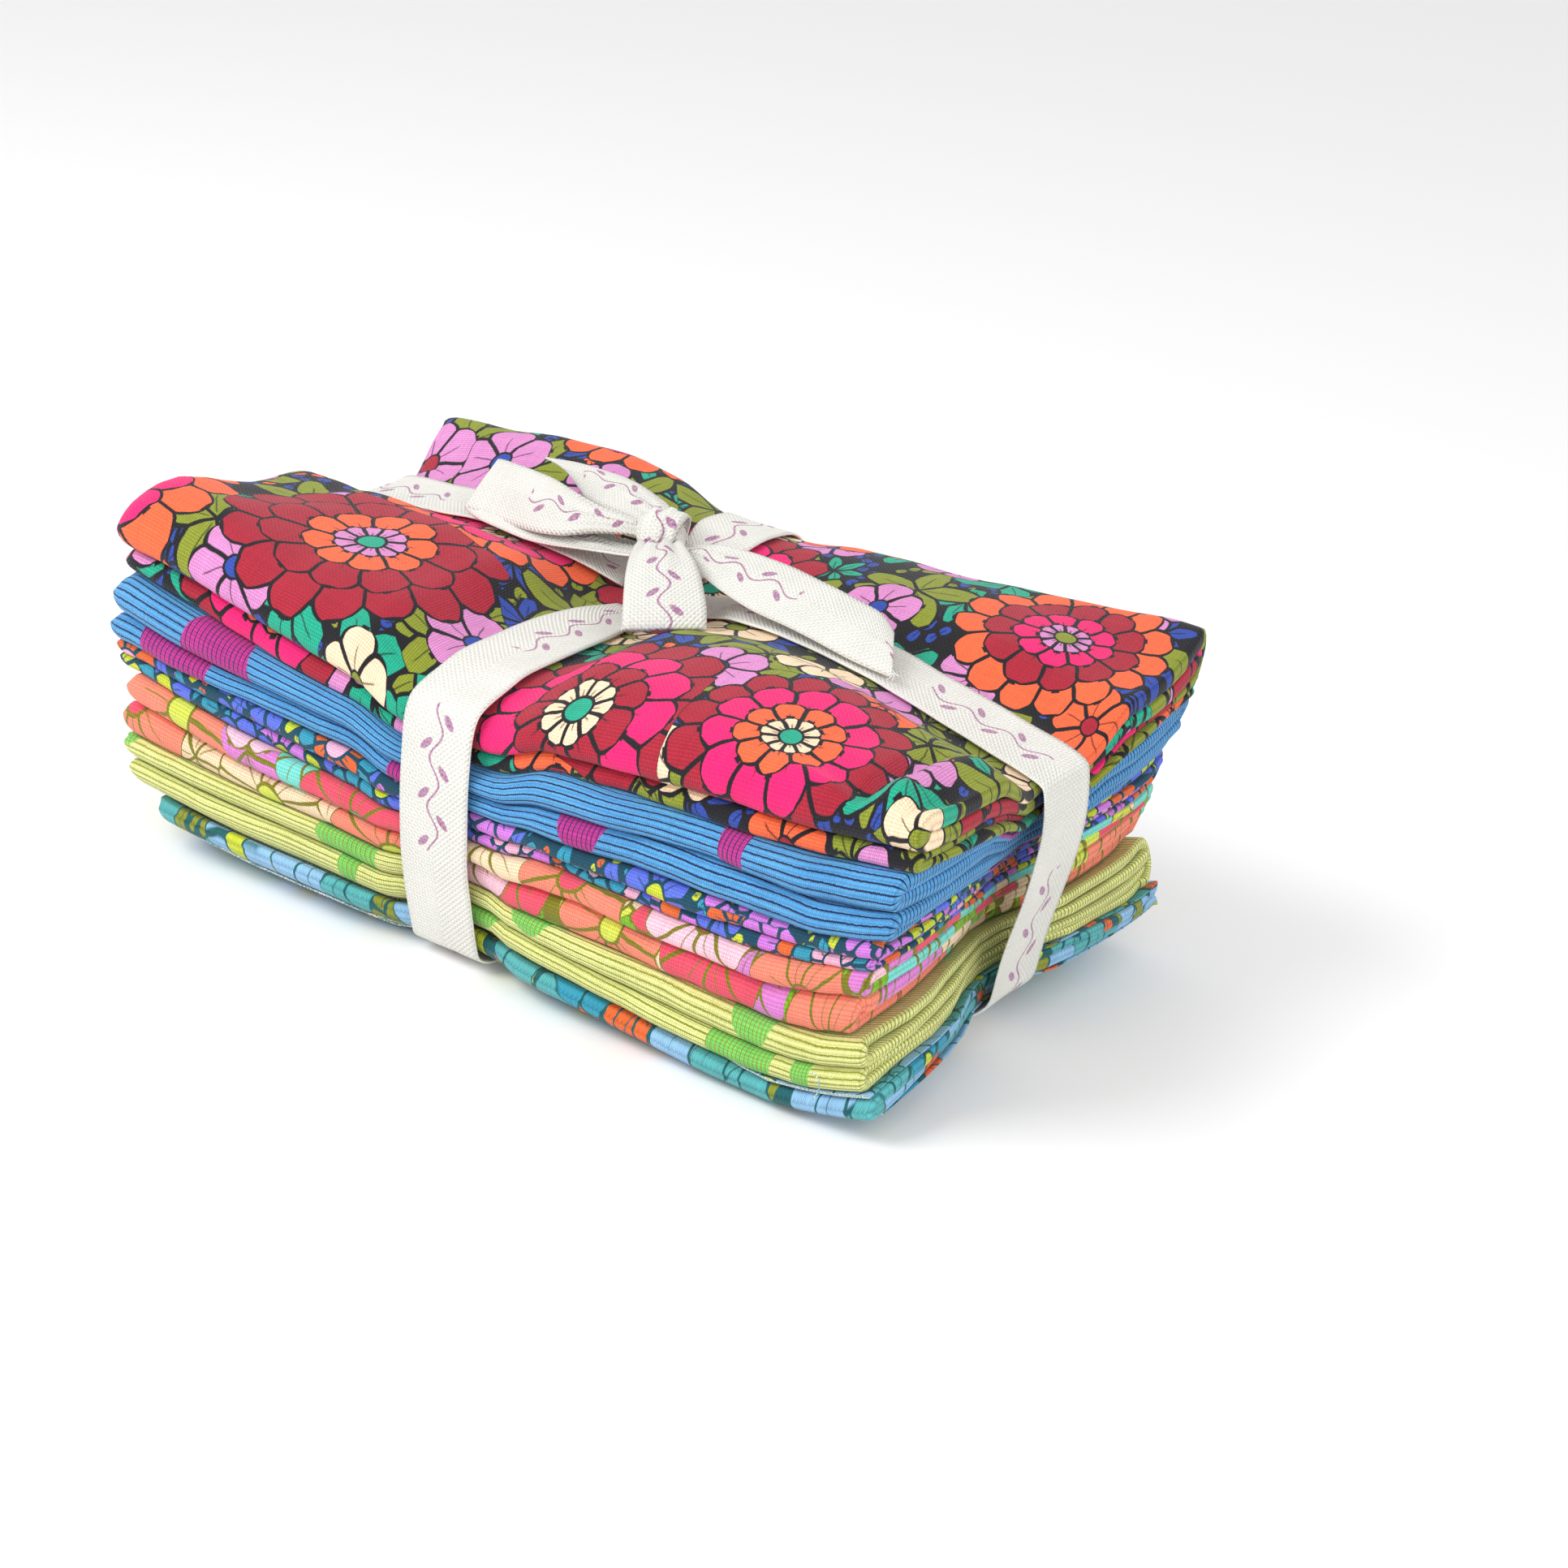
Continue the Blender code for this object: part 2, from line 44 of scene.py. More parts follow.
# the bundle's own form, in millimetres, the same as its solids
bundle = {
    "halfLength": 114.0,
    "halfWidth": 65.5,
    "shift": (4.3, 0.3),
    "topX": (-114.0, -62.0, -13.0, 52.0, 114.0),
    "topRows": (  # y, then the height at each x
        (-66.0, (86.0, 76.0, 70.0, 76.0, 82.0)),
        (-48.0, (91.0, 84.0, 78.0, 83.0, 80.0)),
        (-14.0, (84.0, 85.5, 79.0, 85.0, 79.0)),
        (22.0, (82.0, 84.5, 80.0, 84.0, 80.0)),
        (48.0, (84.5, 86.5, 84.0, 86.0, 85.0)),
        (66.0, (86.5, 89.0, 82.5, 83.0, 91.0)),
    ),
    "underX": (-114.0, -72.0, -13.0, 40.0, 78.0, 114.0),
    "underRows": (
        (-66.0, (9.0, 8.0, 7.0, 3.5, 1.0, 6.0)),
        (-50.0, (6.0, 0.0, 0.0, 0.0, 0.0, 10.0)),
        (-3.0, (5.0, 0.0, 0.0, 0.0, 0.0, 16.5)),
        (50.0, (6.0, 0.0, 0.0, 0.0, 0.0, 15.0)),
        (66.0, (6.0, 4.0, 5.0, 4.0, 5.0, 16.0)),
    ),
    "longSink": ((-114.0, -62.0, -13.0, 20.0, 52.0, 85.0, 114.0), (10.0, 6.0, 2.5, 3.0, 5.6, 8.0, 9.0)),
    "crossSink": ((-66.0, -48.0, -14.0, 22.0, 48.0, 66.0), (6.0, 6.5, 6.5, 3.0, 1.5, 3.0)),
    "crossBandX": -13.0,
    "longBandY": (29.0, -3.0),  # at the left end and at the right end
    "squeezeFlat": 11.5,
    "topReach": 30.0,
    "underReach": 20.0,
    "underRidge": 2.0,
    "underRidgeCrossing": 1.5,
    "cornerRound": 1.6,
    "frontDrawn": (0.4, 6.0),
    "rightDrawn": (2.5, 6.0, 22.0),
    "leftDrawn": (8.0, 20.0),
    "endMovesFrom": 60.0,
}

# one row a cloth, the top one first: flat height, spring, share of the upper fold, then how far the ends and fronts
# of the upper and lower fold stand out
clothForms = (
    {"name": "clothRose", "node": "cloth_rose_floral", "fold": "book", "closed": 9.8, "loft": 10.5, "puff": 0.66,
     "left": (9.5, 5.0), "right": (0.5, -1.0), "front": (0.0, -1.5)},
    {"name": "clothBlue", "node": "cloth_blue_line", "fold": "book", "closed": 9.5, "loft": 9.0, "puff": 0.54,
     "left": (4.5, 11.0), "right": (-1.0, -6.0), "front": (1.5, 1.0)},
    {"name": "clothTeal", "node": "cloth_teal_floral", "fold": "book", "closed": 7.4, "loft": 2.2, "puff": 0.55,
     "left": (9.0, 7.5), "right": (-7.0, -8.0), "front": (0.5, -0.5)},
    {"name": "clothCoral", "node": "cloth_coral_floral", "fold": "book", "closed": 9.5, "loft": 8.5, "puff": 0.46,
     "left": (2.5, 6.0), "right": (-8.0, -12.5), "front": (1.5, 0.0)},
    {"name": "clothLime", "node": "cloth_lime_line", "fold": "book", "closed": 9.5, "loft": 5.5, "puff": 0.52,
     "left": (8.0, 1.5), "right": (-10.0, -6.0), "front": (0.5, 1.0)},
    {"name": "clothAqua", "node": "cloth_aqua_floral", "fold": "zigzag", "closed": 7.2, "loft": 0.0, "puff": 0.5,
     "left": (-5.0, -8.0), "right": (-5.0, -4.0), "front": (0.5, 0.5)},
)
allClosed = sum(c["closed"] for c in clothForms)
allLoft = sum(c["loft"] for c in clothForms)


def slopesOf(stations, values):
    run = np.diff(stations)[:, None]
    slope = np.diff(values, axis=0) / run
    product = slope[:-1] * slope[1:]
    inner = np.where(product > 0, 2 * product / np.where(product > 0, slope[:-1] + slope[1:], 1), 0)
    return np.concatenate([slope[:1], inner, slope[-1:]])


def curvePoint(t, width, start, end, leave, arrive):
    bend = leave * width * t * (1 - t) ** 2 - arrive * width * t**2 * (1 - t)
    return start + (end - start) * t**2 * (3 - 2 * t) + bend


def eased(at, stations, values):
    # a smooth line through the values that never passes them; each column of values has its own at
    at = np.asarray(at, float)
    stations = np.asarray(stations, float)
    values = np.asarray(values, float)
    if values.ndim == 1:
        values = values[:, None]
    slope = slopesOf(stations, values)
    cell = np.clip(np.searchsorted(stations, at) - 1, 0, len(stations) - 2)
    column = np.arange(len(at)) if values.shape[1] > 1 else np.zeros(len(at), int)
    width = stations[cell + 1] - stations[cell]
    t = np.clip((at - stations[cell]) / width, 0, 1)
    return curvePoint(t, width, values[cell, column], values[cell + 1, column], slope[cell, column],
                      slope[cell + 1, column])


def easedTable(at, table):
    # rows of a table, smoothly filled in between
    table = np.asarray(table, float)
    flat = table.reshape(len(table), -1)
    slope = slopesOf(np.arange(len(table), dtype=float), flat)
    cell = np.clip(np.floor(at).astype(int), 0, len(table) - 2)
    t = (at - cell)[:, None]
    made = curvePoint(t, 1.0, flat[cell], flat[cell + 1], slope[cell], slope[cell + 1])
    return made.reshape(len(at), *table.shape[1:])


def rowsHeight(x, y, stations, rows):
    along = np.array([eased(x, stations, heights) for _, heights in rows])
    return eased(y, [row[0] for row in rows], along)


def near(distance, reach, flat=bundle["squeezeFlat"]):
    t = np.clip((np.abs(distance) - flat) / (reach - flat), 0, 1)
    return 1 - t * t * (3 - 2 * t)


def longBandY(x):
    left, right = bundle["longBandY"]
    return left + (right - left) * (x + bundle["halfLength"]) / (2 * bundle["halfLength"])


def topHeight(x, y):
    loose = rowsHeight(x, y, bundle["topX"], bundle["topRows"])
    longSink = eased(x, *bundle["longSink"]) * near(y - longBandY(x), bundle["topReach"])
    crossSink = eased(y, *bundle["crossSink"]) * near(x - bundle["crossBandX"], bundle["topReach"])
    return loose - longSink - crossSink


def underHeight(x, y):
    lift = rowsHeight(x, y, bundle["underX"], bundle["underRows"])
    byLong = near(y - longBandY(x), bundle["underReach"])
    byCross = near(x - bundle["crossBandX"], bundle["underReach"])
    return lift + bundle["underRidge"] * np.maximum(byLong, byCross) + bundle["underRidgeCrossing"] * byLong * byCross


def stackAt(x, y):
    # underside, and how far the loose cloths spring up, at each point
    under = underHeight(x, y)
    return under, (topHeight(x, y) - under - allClosed) / allLoft


def levelHeight(under, spring, index, share):
    form = clothForms[index]
    closed = sum(c["closed"] for c in clothForms[index + 1:]) + share * form["closed"]
    loft = sum(c["loft"] for c in clothForms[index + 1:]) + share * form["loft"]
    return under + closed + loft * spring - 0.4


def stackDepth(index, share):
    form = clothForms[index]
    below = sum(c["closed"] + c["loft"] for c in clothForms[index + 1:]) + share * (form["closed"] + form["loft"])
    return 1 - below / (allClosed + allLoft)


def frontLine(x, standsOut, depth):
    high, low = bundle["frontDrawn"]
    drawn = high + low * np.clip((depth - 0.5) / 0.5, 0, 1) ** 1.5
    drawn = drawn * near(x - bundle["crossBandX"], bundle["topReach"])
    return -bundle["halfWidth"] - standsOut + drawn + bundle["cornerRound"] * np.abs(x / bundle["halfLength"]) ** 6


def endPlace(x, y, form, share, depth):
    leftOut = form["left"][1] + (form["left"][0] - form["left"][1]) * share
    rightOut = form["right"][1] + (form["right"][0] - form["right"][1]) * share
    corner = bundle["cornerRound"] * np.abs(y / bundle["halfWidth"]) ** 6
    drawn, drawnLow, reach = bundle["rightDrawn"]
    right = rightOut - corner - (drawn + drawnLow * depth) * np.exp(-(((y - bundle["longBandY"][1]) / reach) ** 2))
    drawn, reach = bundle["leftDrawn"]
    left = leftOut - corner - drawn * np.exp(-(((y - bundle["longBandY"][0]) / reach) ** 2))
    t = np.clip((np.abs(x) - bundle["endMovesFrom"]) / (bundle["halfLength"] - bundle["endMovesFrom"]), 0, 1) ** 2
    return x + np.where(x > 0, right, -left) * t


def ripple(x, y, seed, wave):
    # soft seeded unevenness, about -1 to 1
    rng = np.random.default_rng(seed)
    total = 0.0
    for _ in range(5):
        turn, phase, size = rng.uniform(0, math.pi), rng.uniform(0, 2 * math.pi), rng.uniform(0.7, 1.6)
        total = total + np.sin((x * math.cos(turn) + y * math.sin(turn)) * 2 * math.pi / (wave * size) + phase)
    return total / 2.6


def smoothStep(value, start, end):
    t = np.clip((value - start) / (end - start), 0, 1)
    return t * t * (3 - 2 * t)


def finishPiece(piece, nodes, materials):
    for material in materials:
        piece.data.materials.append(material)
    bpy.context.scene.collection.objects.link(piece)
    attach(piece, "root")
    if nodes:
        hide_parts(*nodes)
    return piece


def gridPiece(name, points, uv):
    # a sheet from a flat grid: points is rows x columns x 3 in millimetres, uv the same in metres
    rows, columns = points.shape[:2]
    bm = bmesh.new()
    bmesh.ops.create_grid(bm, x_segments=columns - 1, y_segments=rows - 1, size=1)
    flatPoints = points.reshape(-1, 3)
    flatUv = uv.reshape(-1, 2)
    layer = bm.loops.layers.uv.new("cloth")
    for vert, point in zip(bm.verts, flatPoints):
        vert.co = ((point[0] + bundle["shift"][0]) * mm, (point[1] + bundle["shift"][1]) * mm, point[2] * mm)
    for face in bm.faces:
        for loop in face.loops:
            loop[layer].uv = flatUv[loop.vert.index]
        face.smooth = True
    mesh = bpy.data.meshes.new(name)
    bm.to_mesh(mesh)
    bm.free()
    return bpy.data.objects.new(name, mesh)


def thicken(piece, thickness):
    solid = piece.modifiers.new("cloth thickness", "SOLIDIFY")
    solid.thickness = thickness * mm
    solid.offset = 0
    solid.use_quality_normals = True
    solid.material_offset = 1  # the reverse
    solid.material_offset_rim = 2  # the cut edge


def makeThread(name, points, wide, material):
    # one loose thread, a narrow strip along a few points
    table = easedTable(np.linspace(0, len(points) - 1, 5 * len(points)), points)
    ahead = np.gradient(table, axis=0)
    aside = np.cross(ahead, (0.5, -0.77, 0.4))
    aside /= np.linalg.norm(aside, axis=1, keepdims=True)
    rows = table[:, None] + aside[:, None] * np.array([-0.5, 0.5])[None, :, None] * wide
    uv = np.stack(np.broadcast_arrays(table[:, :1] * mm, np.array([[-0.5, 0.5]]) * wide * mm), axis=-1)
    piece = gridPiece(name, rows, uv)
    thicken(piece, wide)
    return finishPiece(piece, [], [material] * 3)


clothMake = {
    "thickness": 0.32,
    "plyGap": 0.3,
    "plyClear": 0.03,
    "innerSpread": 0.35,
    "rightBend": 1.0,
    "leftRound": 6.0,
    "leftRoll": (2.4, 0.32, 2.4),  # power of the rounding, least height left, and how far the near corner tucks in
    "backRadius": 4.5,
    "backClear": 0.6,
    "rawEndInside": -2.4,
    "bendPoints": 11,
    "endPoints": 6,
    "waveFront": 0.7,
    "waveEnds": 0.8,
    "waveLevel": 0.7,
    "foldSwap": (0.16, 70, 26),  # height that the folds swap, over what length, and how far from the tape
    "frontWaves": ((1.0, 46), (0.35, 15)),
    "frontFree": (24, 10),
    "backWave": (0.6, 50),
    "endWave": (0.7, 34),
    "heldReach": (34, 8),
    "settling": (0.23, 2.2, 120),
    "topRipple": (0.35, 26),
    "zigzagShares": (0.945, 0.64, 0.345, 0.05),  # thin raw plies above and below one taller fold
    "zigzagQuarters": (0.05, 0.255, 0.255, 0.05),
    "rawFrontInside": (5.5, 0.2),  # along the front, and of the top one by the near corner
    "flat": (0.457, 0.533),
}
rippleSeeds = {"ends": 40, "swap": 300, "front": (20, 60), "back": 90, "raw": 120, "settling": 7, "top": 5}

# soft creases on the puffy top cloth: where each starts and ends, how wide, how high
topCreases = (
    {"from": (103, -66), "to": (106, -26), "wide": 3.6, "high": 3.0},
    {"from": (96, -64), "to": (98, -30), "wide": 2.6, "high": -2.8},
    {"from": (108, -64), "to": (112, -44), "wide": 2.2, "high": -2.0},
    {"from": (95, -60), "to": (76, -52), "wide": 2.6, "high": -1.0},
    {"from": (108, -60), "to": (58, -22), "wide": 5.0, "high": 1.3},
    {"from": (108, -54), "to": (70, -38), "wide": 3.0, "high": -1.2},
    {"from": (104, -62), "to": (40, -44), "wide": 4.0, "high": -0.9},
    {"from": (30, -58), "to": (4, -34), "wide": 6.0, "high": 0.8},
    {"from": (-4, -50), "to": (22, -60), "wide": 4.0, "high": -0.8},
    {"from": (-26, -52), "to": (-60, -40), "wide": 6.0, "high": 0.8},
    {"from": (-24, -34), "to": (-58, -20), "wide": 5.0, "high": -0.7},
    {"from": (-104, -58), "to": (-84, -20), "wide": 6.0, "high": 0.9},
    {"from": (-108, -40), "to": (-96, 8), "wide": 4.0, "high": -0.8},
    {"from": (20, 34), "to": (84, 22), "wide": 6.0, "high": 0.7},
    {"from": (50, 58), "to": (100, 44), "wide": 5.0, "high": -0.8},
    {"from": (-50, 56), "to": (-96, 60), "wide": 6.0, "high": 0.8},
)


def creaseLift(x, y, creases):
    lift = 0.0
    for crease in creases:
        start, end = np.array(crease["from"], float), np.array(crease["to"], float)
        along = end - start
        length = np.linalg.norm(along)
        t = ((x - start[0]) * along[0] + (y - start[1]) * along[1]) / length**2
        away = np.abs((x - start[0]) * along[1] - (y - start[1]) * along[0]) / length
        ends = smoothStep(t, -0.15, 0.2) * (1 - smoothStep(t, 0.7, 1.15))
        lift = lift + crease["high"] * ends * np.exp(-((away / crease["wide"]) ** 2))
    return lift


def runStations(fine):
    # shares of the way from front to back
    ends = [0, 0.008, 0.022, 0.045, 0.08, 0.13, 0.2]
    middle = list(np.linspace(0.2, 0.8, 46 if fine else 8))[1:-1]
    return np.array(ends + middle + [0.8, 0.88, 0.93, 0.965, 0.985, 1.0])


def foldRows(form):
    # every line of points across the fold: kind, way along, centre share, quarter share, rise and reach of the outside
    puff = form["puff"]
    book = form["fold"] == "book"
    if book:
        shares = (1 - puff / 4, 1 - 3 * puff / 4, (1 - puff) * 3 / 4, (1 - puff) / 4)
        quarters = (puff / 4, puff / 4, (1 - puff) / 4, (1 - puff) / 4)
    else:
        shares, quarters = clothMake["zigzagShares"], clothMake["zigzagQuarters"]
    rises = (1, -1, 1, -1)
    swapped = (0, 0, 0, 0) if book else (0, 1, 1, 0)
    rows = []

    def addPass(number, forward):
        stations = runStations(number == 0 and form["name"] == "clothRose")
        for way in stations if forward else stations[::-1]:
            rows.append(("pass", way, shares[number], quarters[number], rises[number], 0.0, number, swapped[number]))

    def addBend(edge, first, second):
        for step in range(1, clothMake["bendPoints"] + 1):
            angle = math.pi * step / (clothMake["bendPoints"] + 1)
            mix = (1 - math.cos(angle)) / 2
            rise = rises[first] * math.cos(angle)
            rows.append((edge, mix, shares[first] + (shares[second] - shares[first]) * mix,
                         quarters[first] + (quarters[second] - quarters[first]) * mix, rise, math.sin(angle), first,
                         swapped[first] + (swapped[second] - swapped[first]) * mix))

    if book:
        addPass(1, False)
        addBend("front", 1, 0)
        addPass(0, True)
        addBend("back", 0, 3)
        addPass(3, False)
        addBend("front", 3, 2)
        addPass(2, True)
    else:
        addPass(0, True)
        addBend("back", 0, 1)
        addPass(1, False)
        addBend("front", 1, 2)
        addPass(2, True)
        addBend("back", 2, 3)
        addPass(3, False)
    return rows


def plyReach(quarter, tall):
    # from the middle of a pass to the middle of its outer ply
    return quarter * tall - clothMake["plyGap"] / 2 - clothMake["plyClear"]


def makeCloth(index, materials):
    form = clothForms[index]
    book = form["fold"] == "book"
    top = index == 0
    half = bundle["halfLength"]
    # columns: the outer ply from the left end, round the right end, and the inner ply back
    outerX = np.concatenate([[-114, -113.6, -113, -112.2, -111, -109.4], np.linspace(-107, 104, 86 if top else 72),
                             [106, 108, 110, 112, 113.2, 114]])
    innerX = np.concatenate([[114, 112.6, 110, 106], np.linspace(100, -104, 26), [-109.4, -111, -112.2, -113, -114]])
    turns = np.linspace(0, math.pi, clothMake["endPoints"] + 2)[1:-1]
    nominal = np.concatenate([outerX, np.full(len(turns), half), innerX])
    side = np.concatenate([np.ones(len(outerX)), np.cos(turns), -np.ones(len(innerX))])
    pull = clothMake["rightBend"] * np.concatenate([
        smoothStep(outerX, 90, 114), 1 - np.sin(turns), smoothStep(innerX, 90, 114)])
    rows = foldRows(form)
    points = np.zeros((len(rows), len(nominal), 3))
    endShift = np.random.default_rng(rippleSeeds["ends"] + index).uniform(-1, 1, 8)
    swapHigh, swapWave, swapFree = clothMake["foldSwap"]
    (longHigh, longWave), (shortHigh, shortWave) = clothMake["frontWaves"]
    backHigh, backWave = clothMake["backWave"]
    endHigh, endWave = clothMake["endWave"]
    rollPower, rollLeast, cornerTuck = clothMake["leftRoll"]
    topHigh, topWave = clothMake["topRipple"]
    levelTurn, levelSway, levelWave = clothMake["settling"]
    noRun = np.zeros(len(nominal))
    for number, (kind, way, share, quarter, rise, reach, passNumber, turned) in enumerate(rows):
        upper = share > 1 - form["puff"]
        x = nominal.copy()
        # the folds swap a little height along the bundle
        fromBand = x - bundle["crossBandX"]
        swap = swapHigh * ripple(x, noRun, rippleSeeds["swap"] + index, swapWave)
        share = share + swap * share * (1 - share) * (1 - near(fromBand, swapFree))
        depth = stackDepth(index, share)
        standsOut = form["front"][0] if upper else form["front"][1]
        longSeed, shortSeed = (seed + 2 * index + upper for seed in rippleSeeds["front"])
        wave = longHigh * ripple(x, noRun, longSeed, longWave) + shortHigh * ripple(x, noRun, shortSeed, shortWave)
        free = 1 - near(fromBand, *clothMake["frontFree"])
        front = frontLine(x, standsOut, depth) - clothMake["waveFront"] * wave * free + 0.3
        back = backHigh * ripple(x, noRun, rippleSeeds["back"] + index, backWave) - frontLine(x, 0.0, 0.5 * depth)
        underFront, springFront = stackAt(x, front + 4)
        tall = form["closed"] + form["loft"] * springFront
        outerFront = plyReach(quarter, tall)
        frontRadius = quarter * tall
        underBack, springBack = stackAt(x, back - 4)
        tallBack = form["closed"] + form["loft"] * springBack
        outerBack = plyReach(quarter, tallBack)
        backRadius = clothMake["backRadius"] if book else quarter * tallBack
        rawFront = not book and passNumber in (0, 3)
        rawBack = book and passNumber in (1, 2)
        inside, atCorner = clothMake["rawFrontInside"]
        inside = inside + (atCorner - inside) * smoothStep(x, 50, 90) * (passNumber == 0)
        startY = front + (inside if rawFront else frontRadius + outerFront)
        if book:
            endY = back - clothMake["backRadius"] - clothMake["backClear"]
            if rawBack:
                endY = endY - clothMake["rawEndInside"]
        else:
            endY = back - (backRadius + outerBack)
        if kind == "pass":
            y = startY + (endY - startY) * way
        else:
            y = (front + frontRadius + outerFront) if kind == "front" else endY
        under, spring = stackAt(x, y)
        tall = form["closed"] + form["loft"] * spring
        spread = clothMake["innerSpread"]
        spread = spread + (1 - spread) * np.maximum(smoothStep(x, 96, 112), 1 - smoothStep(x, -112, -100))
        outer = plyReach(quarter, tall)
        first, second = 1 + (spread - 1) * turned, spread + (1 - spread) * turned
        off = outer * (first * (1 + side) / 2 - second * (1 - side) / 2)
        if kind == "front":
            y = y - (frontRadius + off * (1 - 2 * turned)) * reach
        elif kind == "back":
            y = y + (backRadius + off * (0.5 if book else 1)) * reach
        shiftX = clothMake["waveEnds"] * endShift[passNumber] * smoothStep(np.abs(x), 70, 114)
        raw = endHigh * ripple(y, noRun, rippleSeeds["raw"] + 4 * index + passNumber, endWave)
        shiftX = shiftX + raw * smoothStep(np.abs(x), 90, 114)
        place = endPlace(x, y, form, share, depth) - pull - shiftX
        under, spring = stackAt(place, y)
        tall = form["closed"] + form["loft"] * spring
        outer = plyReach(quarter, tall)
        off = outer * (first * (1 + side) / 2 - second * (1 - side) / 2)
        z = levelHeight(under, spring, index, share) + rise * off
        # the ends of the rolls round off on the left
        middleShare = 1 - form["puff"] / 2 if upper else (1 - form["puff"]) / 2
        if book and kind == "back":
            middleShare = share
        middleZ = levelHeight(under, spring, index, middleShare)
        gone = np.clip(1 - (x + half) / clothMake["leftRound"], 0, 1)
        closing = np.maximum((1 - gone**rollPower) ** (1 / rollPower), rollLeast)
        z = middleZ + (z - middleZ) * closing
        y = np.where(y < -50, y + (1 - closing) * cornerTuck * smoothStep(-y, 50, 62), y)
        # settled unevenness that all cloths share, less where the tape holds them
        held = np.maximum(*(near(distance, *clothMake["heldReach"]) for distance in (fromBand, y - longBandY(x))))
        sway = levelSway * ripple(x, y, rippleSeeds["settling"], levelWave)
        level = clothMake["waveLevel"] * np.sin(z * levelTurn + sway)
        z = z + level * (1 - 0.85 * held) * smoothStep(z, 6, 16) * (1 - smoothStep(z, 74, 84) * 0.4)
        if top and upper and rise > -0.2:
            soft = topHigh * ripple(place, y, rippleSeeds["top"], topWave)
            lift = creaseLift(place, y, topCreases) + soft * (1 - held)
            z = z + lift * (side > 0.5) * np.clip(rise + 0.2, 0, 1) * smoothStep(y, -66, -60)
        if not book:
            z = np.maximum(z, 0.2)
        points[number] = np.stack([place, y, z], axis=-1)
    steps = np.linalg.norm(np.diff(points[:, 40], axis=0), axis=1)
    along = np.concatenate([[0], np.cumsum(steps)])
    along = along * clothMake["flat"][1] / along[-1]
    turnX = half + np.linspace(0.4, 1.6, len(turns))
    lengthX = np.concatenate([outerX, turnX, 2 * half - innerX + 2])
    across = (lengthX + half) / (lengthX[-1] + half) * clothMake["flat"][0]
    uv = np.stack(np.broadcast_arrays(across[None, :], along[:, None]), axis=-1)
    piece = gridPiece(form["name"], points, uv)
    thicken(piece, clothMake["thickness"])
    finishPiece(piece, [form["node"]], materials)
    return piece


cameraPlan = {
    "focal": 3530.63 / 1932 * 36,
    "azimuth": 32.66,
    "elevation": 23.46,
    "roll": 5.16,
    "distance": 0.67428,
    "target": (0.04533, -0.00459, 0.04589),
}


def makeCamera():
    a, e, r = (math.radians(cameraPlan[key]) for key in ("azimuth", "elevation", "roll"))
    back = Vector((math.sin(a) * math.cos(e), -math.cos(a) * math.cos(e), math.sin(e)))
    level = Vector((0, 0, 1)).cross(back).normalized()
    upright = back.cross(level)
    right = level * math.cos(r) + upright * math.sin(r)
    up = upright * math.cos(r) - level * math.sin(r)
    data = bpy.data.cameras.new("camera")
    data.sensor_width = 36
    data.lens = cameraPlan["focal"]
    data.clip_start = 0.01
    camera = bpy.data.objects.new("camera", data)
    bpy.context.scene.collection.objects.link(camera)
    place = Matrix((right, up, back)).transposed().to_4x4()
    place.translation = Vector(cameraPlan["target"]) + back * cameraPlan["distance"]
    camera.matrix_world = place
    bpy.context.scene.camera = camera


makeCamera()
print("camera placed")


def srgb(red, green, blue):
    # a colour given as 0 to 255
    shares = [v / 255 for v in (red, green, blue)]
    return tuple(v / 12.92 if v <= 0.04045 else ((v + 0.055) / 1.055) ** 2.4 for v in shares)


class Wire:
    # a value in a node tree, so that sums of nodes read as sums
    def __init__(self, tree, socket):
        self.tree = tree
        self.socket = socket

    def calc(self, operation, *others, clamp=False):
        node = self.tree.nodes.new("ShaderNodeMath")
        node.operation = operation
        node.use_clamp = clamp
        for socket, value in zip(node.inputs, (self, *others)):
            if isinstance(value, Wire):
                self.tree.links.new(value.socket, socket)
            else:
                socket.default_value = value
        return Wire(self.tree, node.outputs[0])

    def __add__(self, other):
        return self.calc("ADD", other)

    def __sub__(self, other):
        return self.calc("SUBTRACT", other)

    def __mul__(self, other):
        return self.calc("MULTIPLY", other)

    def __truediv__(self, other):
        return self.calc("DIVIDE", other)

    def flipped(self):
        return self.calc("MULTIPLY_ADD", -1.0, 1.0)

    def sharp(self, blur):
        # 0 below zero, 1 above blur
        return self.calc("DIVIDE", blur, clamp=True)


def newNode(tree, kind, **settings):
    node = tree.nodes.new(kind)
    for key, value in settings.items():
        setattr(node, key, value)
    return node


def feed(tree, socket, value):
    if isinstance(value, Wire):
        tree.links.new(value.socket, socket)
    else:
        socket.default_value = value


def newGroup(name, inputs, outputs):
    tree = bpy.data.node_groups.new(name, "ShaderNodeTree")
    for label, kind, value in inputs:
        socket = tree.interface.new_socket(name=label, in_out="INPUT", socket_type="NodeSocket" + kind)
        if value is not None:
            socket.default_value = value
    for label, kind in outputs:
        tree.interface.new_socket(name=label, in_out="OUTPUT", socket_type="NodeSocket" + kind)
    source = tree.nodes.new("NodeGroupInput")
    sink = tree.nodes.new("NodeGroupOutput")
    return tree, {label: Wire(tree, source.outputs[label]) for label, _, _ in inputs}, sink


def useGroup(tree, group, **values):
    node = newNode(tree, "ShaderNodeGroup", node_tree=group)
    for label, value in values.items():
        feed(tree, node.inputs[label], value)
    return {socket.name: Wire(tree, socket) for socket in node.outputs}


